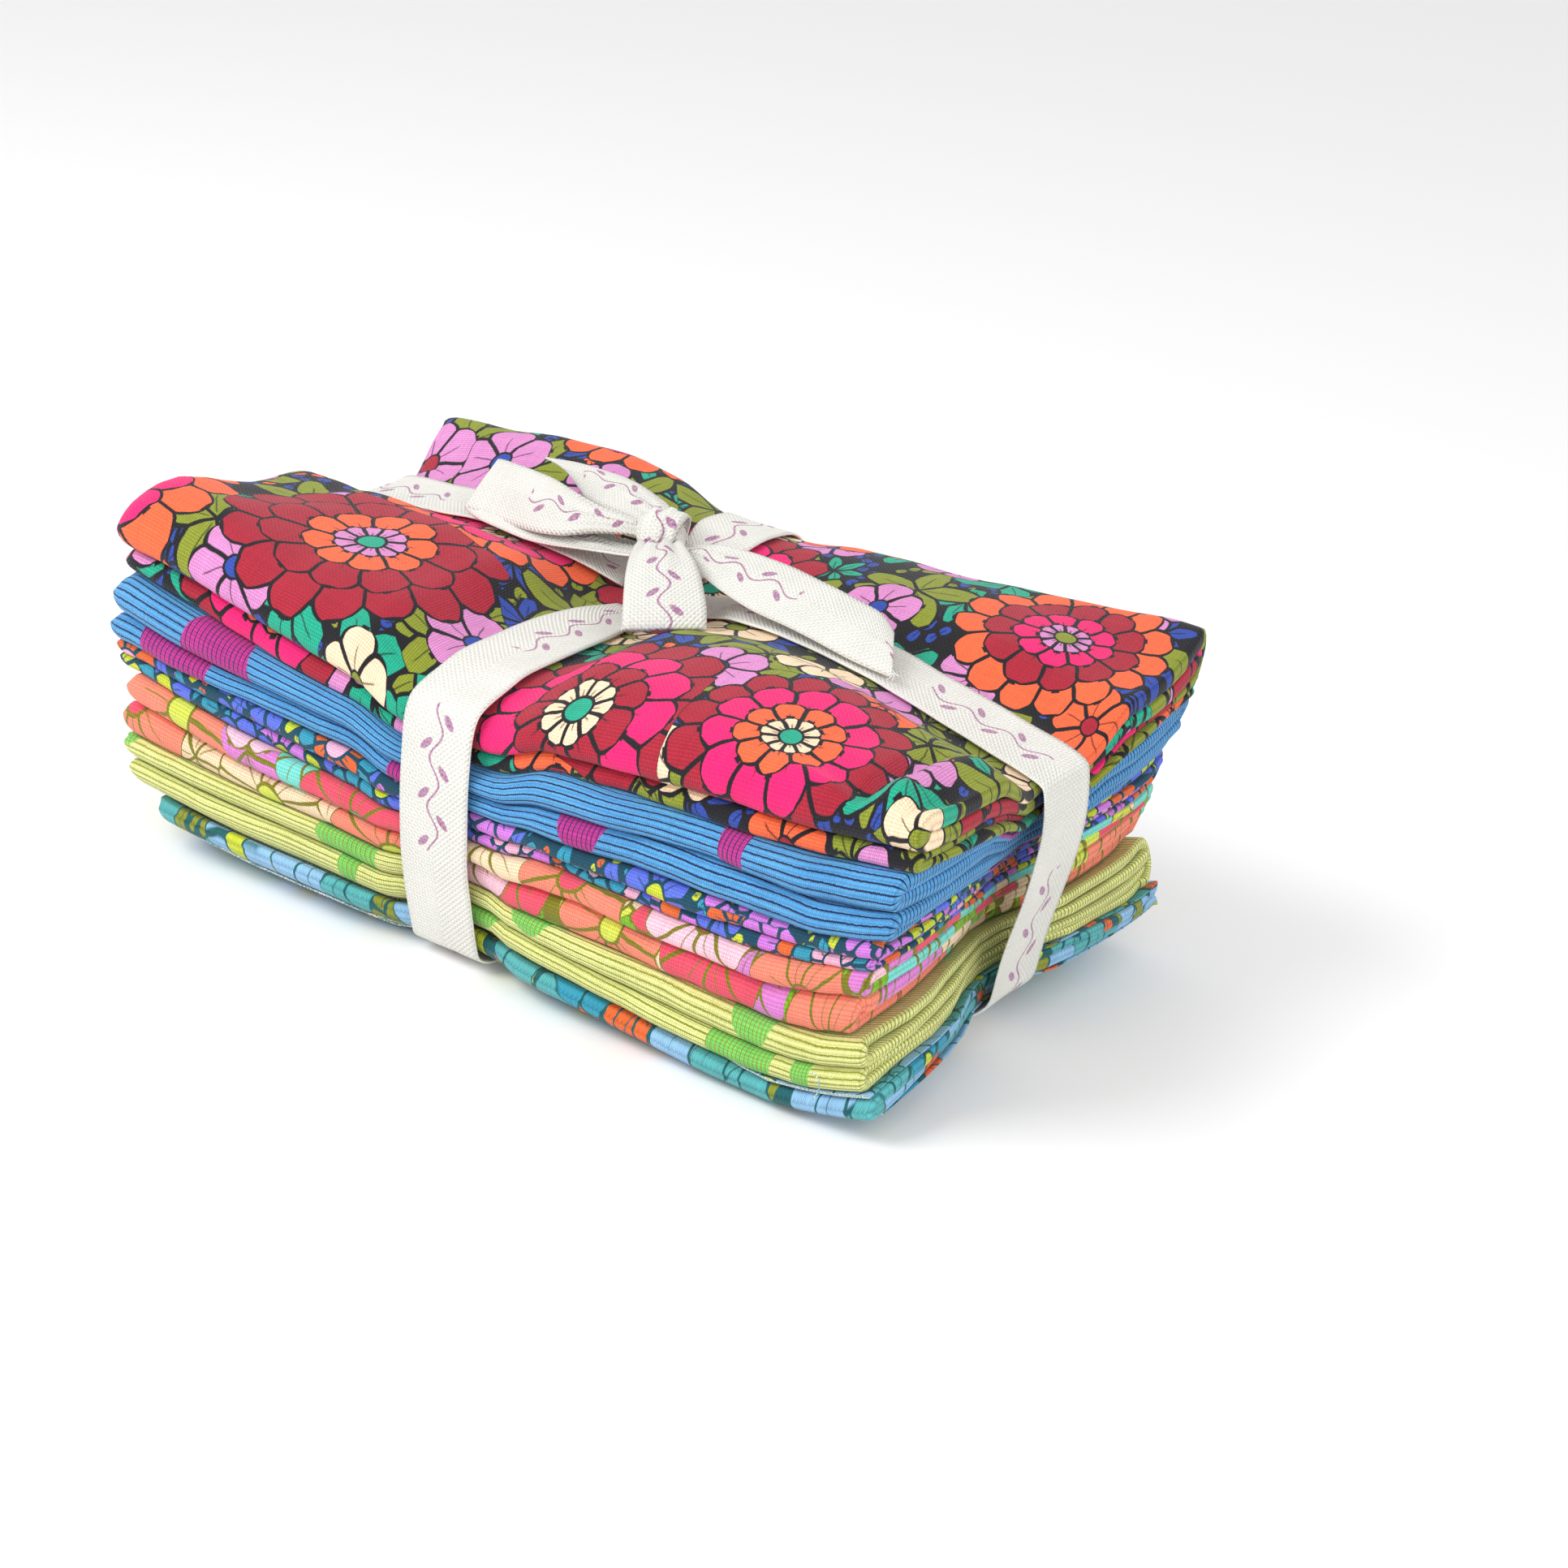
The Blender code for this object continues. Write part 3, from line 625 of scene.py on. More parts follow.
def mixColor(tree, factor, first, second, blend="MIX"):
    node = newNode(tree, "ShaderNodeMix", data_type="RGBA", blend_type=blend)
    feed(tree, node.inputs[0], factor)
    feed(tree, node.inputs[6], first if isinstance(first, Wire) else (*first, 1))
    feed(tree, node.inputs[7], second if isinstance(second, Wire) else (*second, 1))
    return Wire(tree, node.outputs[2])


def pickColor(tree, value, colors):
    # one of several colours, by a random value
    node = newNode(tree, "ShaderNodeValToRGB")
    node.color_ramp.interpolation = "CONSTANT"
    stops = node.color_ramp.elements
    while len(stops) < len(colors):
        stops.new(1.0)
    for number, color in enumerate(colors):
        stops[number].position = 0.12 + 0.76 * number / len(colors) if number else 0.0
        stops[number].color = (*color, 1)
    feed(tree, node.inputs[0], value)
    return Wire(tree, node.outputs[0])


def noiseOf(tree, vector, scale, detail=2.0, stretch=None):
    if stretch:
        squeeze = newNode(tree, "ShaderNodeVectorMath", operation="MULTIPLY")
        feed(tree, squeeze.inputs[0], vector)
        squeeze.inputs[1].default_value = stretch
        vector = Wire(tree, squeeze.outputs[0])
    node = newNode(tree, "ShaderNodeTexNoise", noise_dimensions="2D")
    feed(tree, node.inputs["Vector"], vector)
    node.inputs["Scale"].default_value = scale
    node.inputs["Detail"].default_value = detail
    return Wire(tree, node.outputs[0])


def splitVector(tree, vector):
    node = newNode(tree, "ShaderNodeSeparateXYZ")
    feed(tree, node.inputs[0], vector)
    return Wire(tree, node.outputs[0]), Wire(tree, node.outputs[1])


def makeWeaveGroup():
    # plain weave: threads go over and under each other by turns
    tree, given, sink = newGroup("weave", [("Vector", "Vector", None), ("Pitch", "Float", 0.0006)],
                                 [("Height", "Float"), ("Tint", "Float")])
    x, y = splitVector(tree, given["Vector"])
    x, y = x / given["Pitch"], y / given["Pitch"]
    across, up = x.calc("FLOOR"), y.calc("FLOOR")
    turn = (across + up).calc("MODULO", 2.0).calc("ABSOLUTE")
    hillX = ((x - across - 0.5) * math.pi).calc("COSINE")
    hillY = ((y - up - 0.5) * math.pi).calc("COSINE")
    first = hillX * (hillY * 0.45 + 0.55)
    second = hillY * (hillX * 0.45 + 0.55)
    height = first * turn + second * turn.flipped()
    threads = newNode(tree, "ShaderNodeTexWhiteNoise", noise_dimensions="1D")
    feed(tree, threads.inputs["W"], across * turn + (up * turn.flipped()) * 1.7)
    tree.links.new(height.socket, sink.inputs["Height"])
    tree.links.new(threads.outputs["Value"], sink.inputs["Tint"])
    return tree


def makeScatterGroup():
    # scattered centres: where each point lies from the nearest one, how far from the cell's border, and random values
    tree, given, sink = newGroup(
        "scatter", [("Vector", "Vector", None), ("Scale", "Float", 20.0), ("Loose", "Float", 0.6)],
        [("Local", "Vector"), ("Border", "Float"), ("Pick", "Float"), ("Other", "Float"), ("Size", "Float")])
    spots = newNode(tree, "ShaderNodeTexVoronoi", voronoi_dimensions="2D", feature="F1")
    borders = newNode(tree, "ShaderNodeTexVoronoi", voronoi_dimensions="2D", feature="DISTANCE_TO_EDGE")
    for node in (spots, borders):
        feed(tree, node.inputs["Vector"], given["Vector"])
        feed(tree, node.inputs["Scale"], given["Scale"])
        feed(tree, node.inputs["Randomness"], given["Loose"])
    local = newNode(tree, "ShaderNodeVectorMath", operation="SUBTRACT")
    feed(tree, local.inputs[0], given["Vector"])
    tree.links.new(spots.outputs["Position"], local.inputs[1])
    parts = newNode(tree, "ShaderNodeSeparateColor")
    tree.links.new(spots.outputs["Color"], parts.inputs[0])
    border = Wire(tree, borders.outputs["Distance"]) / given["Scale"]
    for label, socket in (("Local", local.outputs[0]), ("Border", border.socket), ("Pick", parts.outputs[0]),
                          ("Other", parts.outputs[1]), ("Size", parts.outputs[2])):
        tree.links.new(socket, sink.inputs[label])
    return tree


def makePetalsGroup():
    # whole petals round a centre: flowers, sprigs of leaves and buds, by their number, length and width
    tree, given, sink = newGroup(
        "petals",
        [("Local", "Vector", None), ("Border", "Float", 1.0), ("Turn", "Float", 0.0), ("Petals", "Float", 5.0),
         ("Length", "Float", 0.02), ("Width", "Float", 0.4), ("Tip", "Float", 0.6), ("Line", "Float", 0.0003)],
        [("Inside", "Float"), ("Halo", "Float"), ("Ink", "Float"), ("Radius", "Float")])
    x, y = splitVector(tree, given["Local"])
    length = given["Length"]
    radius = (x * x + y * y).calc("SQRT") / length
    sector = (y.calc("ARCTAN2", x) + given["Turn"]) * given["Petals"] / (2 * math.pi)
    phi = (sector.calc("FRACT") - 0.5) * (2 * math.pi) / given["Petals"]
    along = radius * phi.calc("COSINE")
    aside = (radius * phi.calc("SINE")).calc("ABSOLUTE")
    hump = (along * along.flipped() * 4.0).calc("MAXIMUM", 0.0).calc("SQRT")
    profile = given["Width"] * hump * (given["Tip"] * (along - 0.5) + 1.0)
    halfSector = given["Petals"].calc("POWER", -1.0) * math.pi
    neighbour = radius * (halfSector - phi.calc("ABSOLUTE")).calc("SINE")
    room = ((profile - aside).calc("MINIMUM", (along.flipped() - 0.02)) * length).calc("MINIMUM", given["Border"])
    blur = 0.00022
    ink = (neighbour * length - given["Line"]).sharp(blur).flipped()
    vein = (aside * length - 0.00008).sharp(blur).flipped()
    vein = vein * (along - 0.1).sharp(0.05) * (along * -1.0 + 0.7).sharp(0.1)
    for label, wire in (("Inside", room.sharp(blur)), ("Halo", (room + given["Line"] * 2.6).sharp(blur)),
                        ("Ink", ink.calc("MAXIMUM", vein * 0.75)), ("Radius", radius)):
        tree.links.new(wire.socket, sink.inputs[label])
    return tree


def makeLinesGroup():
    # thin lines along the cloth, a little uneven
    tree, given, sink = newGroup("lines", [("Vector", "Vector", None), ("Pitch", "Float", 0.0011),
                                           ("Width", "Float", 0.3)], [("Mask", "Float"), ("Shade", "Float")])
    x, y = splitVector(tree, given["Vector"])
    wander = noiseOf(tree, given["Vector"], 25.0) * 0.0012 + noiseOf(tree, given["Vector"], 900.0) * 0.0002
    line = ((y + wander) / given["Pitch"]).calc("FRACT") - 0.5
    mask = (line.calc("ABSOLUTE") * -1.0 + given["Width"] * 0.5).sharp(0.1)
    tree.links.new(mask.socket, sink.inputs["Mask"])
    shade = noiseOf(tree, given["Vector"], 1400.0, stretch=(0.05, 1, 1))
    tree.links.new(shade.socket, sink.inputs["Shade"])
    return tree


weaveGroup = makeWeaveGroup()
scatterGroup = makeScatterGroup()
petalsGroup = makePetalsGroup()
linesGroup = makeLinesGroup()


def startMaterial(name):
    made = bpy.data.materials.new(name)
    made.use_nodes = True
    tree = made.node_tree
    uv = newNode(tree, "ShaderNodeUVMap", uv_map="cloth")
    return made, tree, Wire(tree, uv.outputs[0])


def finishWoven(tree, uv, color, weave):
    # thread shading: painted shade in the gaps between threads, with random thread tint and blotches of tone; then
    # bump and the matt look of cotton
    shader = tree.nodes["Principled BSDF"]
    woven = useGroup(tree, weaveGroup, Vector=uv, Pitch=weave["pitch"])
    # painted shade: the colour darkens where the weave's height dips between threads
    shade = woven["Height"] * weave["shade"] + (1.0 - fabricLook["lift"] * weave["shade"])
    shade = shade + woven["Tint"] * weave["tint"] - 0.5 * weave["tint"]
    blotchScale, blotchDepth = fabricLook["blotches"]
    shade = shade + noiseOf(tree, uv, blotchScale) * blotchDepth - blotchDepth / 2
    tint = newNode(tree, "ShaderNodeCombineColor")
    for socket in tint.inputs[:3]:
        feed(tree, socket, shade)
    made = mixColor(tree, 1.0, color, Wire(tree, tint.outputs[0]), "MULTIPLY")
    feed(tree, shader.inputs["Base Color"], made)
    bump = newNode(tree, "ShaderNodeBump")
    bump.inputs["Strength"].default_value = weave["bump"]
    bump.inputs["Distance"].default_value = weave["deep"]
    fuzzScale, fuzzHeight = fabricLook["fuzz"]
    feed(tree, bump.inputs["Height"], woven["Height"] + noiseOf(tree, uv, fuzzScale) * fuzzHeight)
    feed(tree, shader.inputs["Normal"], Wire(tree, bump.outputs[0]))
    shader.inputs["Roughness"].default_value = weave["rough"]
    shader.inputs["Sheen Weight"].default_value = weave["sheen"]
    shader.inputs["Sheen Roughness"].default_value = fabricLook["sheenRough"]
    shader.inputs["Specular IOR Level"].default_value = fabricLook["specular"]


fabricLook = {"lift": 0.72, "blotches": (90.0, 0.12), "fuzz": (2600.0, 0.5), "sheenRough": 0.5, "specular": 0.25}
cottonWeave = {"pitch": 0.0006, "shade": 0.5, "tint": 0.16, "bump": 0.55, "deep": 0.00022, "rough": 0.85,
               "sheen": 0.12}
tapeWeave = {"pitch": 0.0009, "shade": 0.2, "tint": 0.06, "bump": 0.7, "deep": 0.00032, "rough": 0.9, "sheen": 0.2}


def offsetVector(tree, vector, offset, wobble=0.0):
    moved = newNode(tree, "ShaderNodeVectorMath", operation="ADD")
    feed(tree, moved.inputs[0], vector)
    moved.inputs[1].default_value = (*offset, 0)
    made = Wire(tree, moved.outputs[0])
    if wobble:
        noise = newNode(tree, "ShaderNodeTexNoise", noise_dimensions="2D")
        feed(tree, noise.inputs["Vector"], made)
        noise.inputs["Scale"].default_value = 110.0
        scaled = newNode(tree, "ShaderNodeVectorMath", operation="MULTIPLY_ADD")
        tree.links.new(noise.outputs["Color"], scaled.inputs[0])
        scaled.inputs[1].default_value = (wobble, wobble, 0)
        feed(tree, scaled.inputs[2], made)
        made = Wire(tree, scaled.outputs[0])
    return made


def paintBlooms(tree, uv, color, ground, layer):
    # one layer of flowers, leaves or buds over what is already printed, each ring of petals inside the last
    spots = useGroup(tree, scatterGroup, Vector=offsetVector(tree, uv, layer["offset"], 0.0016),
                     Scale=1 / layer["cell"], Loose=layer["loose"])
    size = spots["Size"] * 0.3 + 0.8
    for number, ring in enumerate(layer["rings"]):
        petals = useGroup(
            tree, petalsGroup, Local=spots["Local"], Border=spots["Border"],
            Turn=spots["Other"] * (2 * math.pi) + 1.3 * number, Petals=ring["petals"], Length=size * ring["length"],
            Width=ring["width"], Tip=ring.get("tip", 0.5), Line=ring.get("line", 0.0004))
        picked = pickColor(tree, spots["Other" if number % 2 else "Pick"], ring["colors"])
        color = mixColor(tree, petals["Halo"], color, ground)
        color = mixColor(tree, petals["Inside"] * petals["Ink"].flipped(), color, picked)
        if "middle" in ring:
            color = mixColor(tree, (petals["Radius"] * -1.0 + ring["disc"] * 1.25).sharp(0.02), color, ground)
            color = mixColor(tree, (petals["Radius"] * -1.0 + ring["disc"]).sharp(0.02), color,
                             pickColor(tree, spots["Pick"], ring["middle"]))
    return color


def printedCloth(name, printPlan):
    made, tree, uv = startMaterial(name)
    color = ground = printPlan["ground"]
    for layer in printPlan["layers"]:
        color = paintBlooms(tree, uv, color, ground, layer)
    finishWoven(tree, uv, color, cottonWeave)
    return made


def linedCloth(name, linePlan):
    made, tree, uv = startMaterial(name)
    lines = useGroup(tree, linesGroup, Vector=uv, Pitch=linePlan["pitch"], Width=linePlan["width"])
    turned = newNode(tree, "ShaderNodeVectorRotate", rotation_type="Z_AXIS")
    feed(tree, turned.inputs["Vector"], uv)
    turned.inputs["Angle"].default_value = math.radians(90)
    crossLines = useGroup(tree, linesGroup, Vector=Wire(tree, turned.outputs[0]), Pitch=linePlan["pitch"] * 1.1,
                          Width=linePlan["width"] * 0.9)
    ground = mixColor(tree, lines["Shade"], linePlan["ground"], linePlan["groundDeep"])
    ground = mixColor(tree, lines["Mask"], ground, linePlan["line"])
    patch = mixColor(tree, lines["Shade"], linePlan["patch"], linePlan["patchDeep"])
    patch = mixColor(tree, crossLines["Mask"], patch, linePlan["line"])
    color = ground
    for oval in linePlan["ovals"]:
        spots = useGroup(tree, scatterGroup, Vector=offsetVector(tree, uv, oval["offset"], 0.002),
                         Scale=1 / oval["cell"], Loose=0.55)
        x, y = splitVector(tree, spots["Local"])
        size = spots["Size"] * 0.5 + 0.75
        x, y = x / size / oval["half"][0], y / size / oval["half"][1]
        inside = ((x * x + y * y).calc("SQRT") * -1.0 + 1.0).sharp(0.03)
        color = mixColor(tree, inside, color, patch)
    finishWoven(tree, uv, color, cottonWeave)
    return made


ink = {
    "black": srgb(22, 22, 28), "hotPink": srgb(238, 28, 112), "crimson": srgb(168, 30, 52),
    "orange": srgb(246, 104, 62), "cream": srgb(250, 220, 184), "green": srgb(28, 166, 134),
    "olive": srgb(136, 146, 42), "cobalt": srgb(46, 74, 166), "lilac": srgb(216, 138, 196),
    "sky": srgb(96, 168, 216), "skyDeep": srgb(62, 134, 198), "navy": srgb(18, 34, 74),
    "magenta": srgb(196, 52, 146), "magentaDeep": srgb(160, 40, 124), "teal": srgb(18, 70, 90),
    "periwinkle": srgb(92, 112, 218), "violet": srgb(206, 122, 218), "rust": srgb(228, 104, 50),
    "chartreuse": srgb(198, 208, 50), "palePink": srgb(240, 176, 204), "seaBlue": srgb(52, 150, 178),
    "moss": srgb(124, 120, 26), "aqua": srgb(118, 212, 200), "coral": srgb(243, 134, 110),
    "rosePink": srgb(230, 80, 102), "blush": srgb(244, 192, 208), "sand": srgb(240, 212, 176),
    "orchid": srgb(216, 126, 202), "limeGreen": srgb(206, 216, 82), "leaf": srgb(118, 182, 34),
    "paleLime": srgb(230, 230, 158), "paleLimeDeep": srgb(206, 212, 128), "oliveLine": srgb(138, 144, 44),
    "freshGreen": srgb(132, 210, 92), "freshDeep": srgb(104, 188, 96), "pool": srgb(84, 168, 172),
    "poolBlue": srgb(138, 184, 220), "deepSea": srgb(24, 92, 96), "white": srgb(240, 238, 232),
    "tapeWhite": srgb(228, 227, 220), "tapeShade": srgb(184, 182, 172),
    "mauve": srgb(150, 62, 132),
}


def inks(names):
    return [ink[name] for name in names.split()]


def ring(petals, length, width, colors, **more):
    # one ring of petals, from the centre of its flower
    return {"petals": petals, "length": length, "width": width, "colors": inks(colors), **more}


rosePrint = {
    "ground": ink["black"],
    "layers": (
        {"cell": 0.0085, "offset": (0.31, 0.12), "loose": 0.7, "rings": (
            ring(2, 0.0040, 0.36, "cobalt olive orange cobalt"),)},
        {"cell": 0.0185, "offset": (0.52, 0.77), "loose": 0.8, "rings": (
            ring(6, 0.0105, 0.2, "cobalt green olive", tip=-0.3),)},
        {"cell": 0.024, "offset": (0.23, 0.14), "loose": 0.85, "rings": (
            ring(5, 0.0150, 0.24, "olive olive green", tip=-0.2),)},
        {"cell": 0.031, "offset": (0.13, 0.44), "loose": 0.8, "rings": (
            ring(5, 0.0118, 0.42, "lilac lilac orange cream",
                 middle=inks("cobalt crimson olive"), disc=0.2),)},
        {"cell": 0.070, "offset": (0.735, 0.212), "loose": 0.6, "rings": (
            ring(15, 0.0330, 0.2, "crimson orange crimson"),
            ring(11, 0.0245, 0.27, "hotPink hotPink crimson"),
            ring(9, 0.0155, 0.3, "orange hotPink crimson"),
            ring(10, 0.0082, 0.3, "cream cream lilac",
                 middle=inks("green olive green"), disc=0.38))},
    ),
}
tealPrint = {
    "ground": ink["teal"],
    "layers": (
        {"cell": 0.0055, "offset": (0.21, 0.32), "loose": 0.8, "rings": (
            ring(2, 0.0025, 0.4, "violet rust seaBlue chartreuse"),)},
        {"cell": 0.0105, "offset": (0.42, 0.17), "loose": 0.8, "rings": (
            ring(4, 0.0062, 0.28, "seaBlue chartreuse periwinkle", tip=-0.2),)},
        {"cell": 0.0165, "offset": (0.63, 0.54), "loose": 0.7, "rings": (
            ring(6, 0.0080, 0.38, "periwinkle violet rust periwinkle",
                 middle=inks("chartreuse rust palePink"), disc=0.3),)},
        {"cell": 0.036, "offset": (0.15, 0.91), "loose": 0.7, "rings": (
            ring(12, 0.0135, 0.24, "seaBlue periwinkle violet"),
            ring(9, 0.0085, 0.28, "rust chartreuse palePink",
                 middle=inks("palePink chartreuse"), disc=0.4))},
    ),
}
coralPrint = {
    "ground": ink["moss"],
    "layers": (
        {"cell": 0.0100, "offset": (0.11, 0.62), "loose": 0.7, "rings": (
            ring(3, 0.0066, 0.5, "leaf limeGreen rosePink coral leaf", line=0.0003),)},
        {"cell": 0.021, "offset": (0.47, 0.27), "loose": 0.75, "rings": (
            ring(5, 0.0125, 0.42, "aqua rosePink limeGreen orchid sand", line=0.0003),)},
        {"cell": 0.034, "offset": (0.68, 0.35), "loose": 0.6, "rings": (
            ring(7, 0.0170, 0.42, "coral blush rosePink aqua sand coral", line=0.0003,
                 middle=inks("rosePink aqua limeGreen"), disc=0.2),)},
    ),
}
aquaPrint = {
    "ground": ink["deepSea"],
    "layers": (
        {"cell": 0.0085, "offset": (0.81, 0.22), "loose": 0.8, "rings": (
            ring(3, 0.0056, 0.46, "pool chartreuse rust oliveLine", line=0.0002),)},
        {"cell": 0.022, "offset": (0.22, 0.47), "loose": 0.7, "rings": (
            ring(5, 0.0128, 0.46, "poolBlue pool seaBlue poolBlue pool", line=0.0002,
                 middle=inks("chartreuse oliveLine"), disc=0.22),)},
    ),
}
blueLines = {"ground": ink["sky"], "groundDeep": ink["skyDeep"], "line": ink["navy"], "patch": ink["magenta"],
             "patchDeep": ink["magentaDeep"], "pitch": 0.00118, "width": 0.32,
             "ovals": ({"offset": (0.37, 0.16), "cell": 0.062, "half": (0.0095, 0.020)},
                       {"offset": (0.77, 0.58), "cell": 0.071, "half": (0.0036, 0.013)})}
limeLines = {"ground": ink["paleLime"], "groundDeep": ink["paleLimeDeep"], "line": ink["oliveLine"],
             "patch": ink["freshGreen"], "patchDeep": ink["freshDeep"], "pitch": 0.00115, "width": 0.36,
             "ovals": ({"offset": (0.84, 0.55), "cell": 0.068, "half": (0.0085, 0.019)},
                       {"offset": (0.41, 0.28), "cell": 0.060, "half": (0.0030, 0.012)})}


def reverseCloth(name, color):
    # the paler back of a printed cloth
    made, tree, uv = startMaterial(name)
    blotch = noiseOf(tree, uv, 120.0)
    finishWoven(tree, uv, mixColor(tree, blotch, color, ink["white"]), cottonWeave)
    return made


def cutEdge(name, color):
    # whitish thread ends where the cloth was cut
    made, tree, uv = startMaterial(name)
    threads = noiseOf(tree, uv, 2200.0).calc("GREATER_THAN", 0.5)
    finishWoven(tree, uv, mixColor(tree, threads * 0.7, ink["white"], color), cottonWeave)
    return made


tapePrint = {"twill": 0.0014, "repeat": 0.064, "stem": 0.0122, "sway": 0.0016, "line": 0.00042,
             "leaf": (0.0024, 0.001), "leafAside": 0.0028}


def makeTapeMaterial():
    # white cotton herringbone tape, with a small leafy stem printed along it at intervals
    made, tree, uv = startMaterial("tapeCotton")
    x, y = splitVector(tree, uv)
    across = y.calc("ABSOLUTE")
    twill = (((x + across) / tapePrint["twill"]).calc("FRACT") - 0.5).calc("ABSOLUTE") * 2.0
    # painted shade: the twill's grooves, which the bump below sinks, are painted darker with tapeShade
    color = mixColor(tree, twill * 0.34, ink["tapeWhite"], ink["tapeShade"])
    repeat = (x / tapePrint["repeat"]).calc("FRACT")
    shown = (repeat - 0.08).sharp(0.01) * (repeat * -1.0 + 0.66).sharp(0.01)
    stem = (y - (x / tapePrint["stem"] * 2 * math.pi).calc("SINE") * tapePrint["sway"]).calc("ABSOLUTE")
    motif = (stem * -1.0 + tapePrint["line"]).sharp(0.0002)
    half = tapePrint["stem"] / 2
    step = (x / half - 0.5).calc("FLOOR")
    side = step.calc("MODULO", 2.0).calc("ABSOLUTE") * 2.0 - 1.0
    leafX = (x / half - 0.5 - step - 0.5) * half
    leafY = y * side - tapePrint["leafAside"]
    long, slim = tapePrint["leaf"]
    tilted = (leafX + leafY) * (0.7071 / long)
    upright = (leafY - leafX) * (0.7071 / slim)
    leaf = ((tilted * tilted + upright * upright).calc("SQRT") * -1.0 + 1.0).sharp(0.2)
    motif = motif.calc("MAXIMUM", leaf) * shown
    worn = (noiseOf(tree, uv, 1500.0) * 0.8 + 0.35).calc("MINIMUM", 0.9)
    color = mixColor(tree, motif * worn, color, ink["mauve"])
    finishWoven(tree, uv, color, tapeWeave)
    bump = next(node for node in tree.nodes if node.bl_idname == "ShaderNodeBump")
    woven = Wire(tree, bump.inputs["Height"].links[0].from_socket)
    tree.links.new((woven * 0.6 - twill).socket, bump.inputs["Height"])
    return made


print("materials started")

clothLooks = {
    "clothRose": (printedCloth("roseCotton", rosePrint), ink["crimson"]),
    "clothBlue": (linedCloth("blueCotton", blueLines), ink["sky"]),
    "clothTeal": (printedCloth("tealCotton", tealPrint), ink["seaBlue"]),
    "clothCoral": (printedCloth("coralCotton", coralPrint), ink["coral"]),
    "clothLime": (linedCloth("limeCotton", limeLines), ink["paleLime"]),
    "clothAqua": (printedCloth("aquaCotton", aquaPrint), ink["pool"]),
}
cornerThread = ((94.8, -67.0, 14.8), (96.8, -67.8, 14.2), (97.2, -68.0, 12.2), (96.0, -67.6, 9.5), (95.2, -66.8, 8.9))
for index, form in enumerate(clothForms):
    front, tone = clothLooks[form["name"]]
    edge = cutEdge(form["name"] + "Edge", tone)
    trims = []
    if form["name"] == "clothAqua":
        trims.append(makeThread("cornerThread", cornerThread, 0.32, edge))
    makeCloth(index, [front, reverseCloth(form["name"] + "Reverse", tone), edge])
    print("made", form["name"])

tapeForm = {
    "width": 20.0,
    "thickness": 0.55,
    "columns": 13,
    "fill": 7,
    "offTop": 0.85,
    "offUnder": 0.75,
    "underSlope": 1.6,
    "gathersWithin": 27.0,
    "leastGather": 0.42,
    "knot": (-12.2, 13.8, 87.4),
    "topFront": (4, -8, -22, -36, -47, -55),
    "frontFace": ((-64.9, 66.6), (-67.1, 59.0), (-67.5, 46.0), (-67.1, 33.0), (-64.9, 20.0), (-62.6, 10.0),
                  (-60.6, 4.4)),
    "crossUnder": (-56, -50, -30, -8, 4, 25, 36, 50, 57),
    "backFace": ((64.2, 3.8), (66.4, 10.0), (67.0, 24.0), (67.2, 40.0), (67.0, 60.0), (65.0, 75.4)),
    "topBack": (57, 46, 36, 25),
    "topRight": (-4, 6, 20, 36, 56, 78, 95, 108),
    "rightFace": ((113.2, 69.6), (114.3, 58.0), (111.7, 42.0), (108.7, 30.0), (106.9, 20.0), (105.6, 13.8)),
    "longUnder": (110, 101, 90, 78, 42, 8, -1.5, -24.5, -34, -66, -84, -101),
    "leftFace": ((-111.2, 5.2), (-116.6, 14.0), (-120.4, 32.0), (-120.6, 60.0), (-119.8, 70.4)),
    "topLeft": (-111, -98, -82, -62, -40, -22),
}
tapeAcross = np.linspace(-1, 1, tapeForm["columns"])


def gathered(fromKnot=math.inf):
    share = min(max(abs(fromKnot) / tapeForm["gathersWithin"], tapeForm["leastGather"]), 1)
    return tapeAcross * share * tapeForm["width"] / 2


def tapePiece(name, node, table, materials, width=tapeForm["width"], pleats=None, seed=1):
    # fills a table of points in along the tape, ripples it softly and gives it its thickness
    table = np.asarray(table, float)
    steps = np.linspace(0, len(table) - 1, (len(table) - 1) * tapeForm["fill"] + 1)
    points = easedTable(steps, table)
    points[1:-1] = (points[:-2] + 2 * points[1:-1] + points[2:]) / 4
    length = np.concatenate([[0], np.cumsum(np.linalg.norm(np.diff(points[:, len(tapeAcross) // 2], axis=0), axis=1))])
    ahead = np.gradient(points, axis=0)
    aside = np.gradient(points, axis=1)
    normal = np.cross(aside, ahead)
    normal /= np.maximum(np.linalg.norm(normal, axis=2, keepdims=True), 1e-9)
    wave = 0.12 * ripple(length[:, None], tapeAcross[None, :] * 10, seed, 17)
    if pleats is not None:
        wave = wave + np.interp(steps, np.arange(len(table)), pleats)[:, None] * np.cos(
            2 * math.pi * 1.6 * tapeAcross[None, :] + 0.5 + 0.06 * length[:, None])
    points = points + normal * wave[:, :, None]
    uv = np.stack(np.broadcast_arrays(length[:, None] * mm, tapeAcross[None, :] * width / 2 * mm), axis=-1)
    piece = gridPiece(name, points, uv)
    thicken(piece, tapeForm["thickness"])
    finishPiece(piece, [node], materials)
    return piece


def crossSpot(y, fromKnot, _):
    x = bundle["crossBandX"] + gathered(fromKnot)
    return x, np.full(len(x), float(y))


def longSpot(x, fromKnot, onTop):
    y = longBandY(x) + gathered(fromKnot)
    form, share = (clothForms[0], 1.0) if onTop else (clothForms[-1], 0.0)
    return endPlace(np.full(len(y), float(x)), y, form, share, 1.0 - share), y


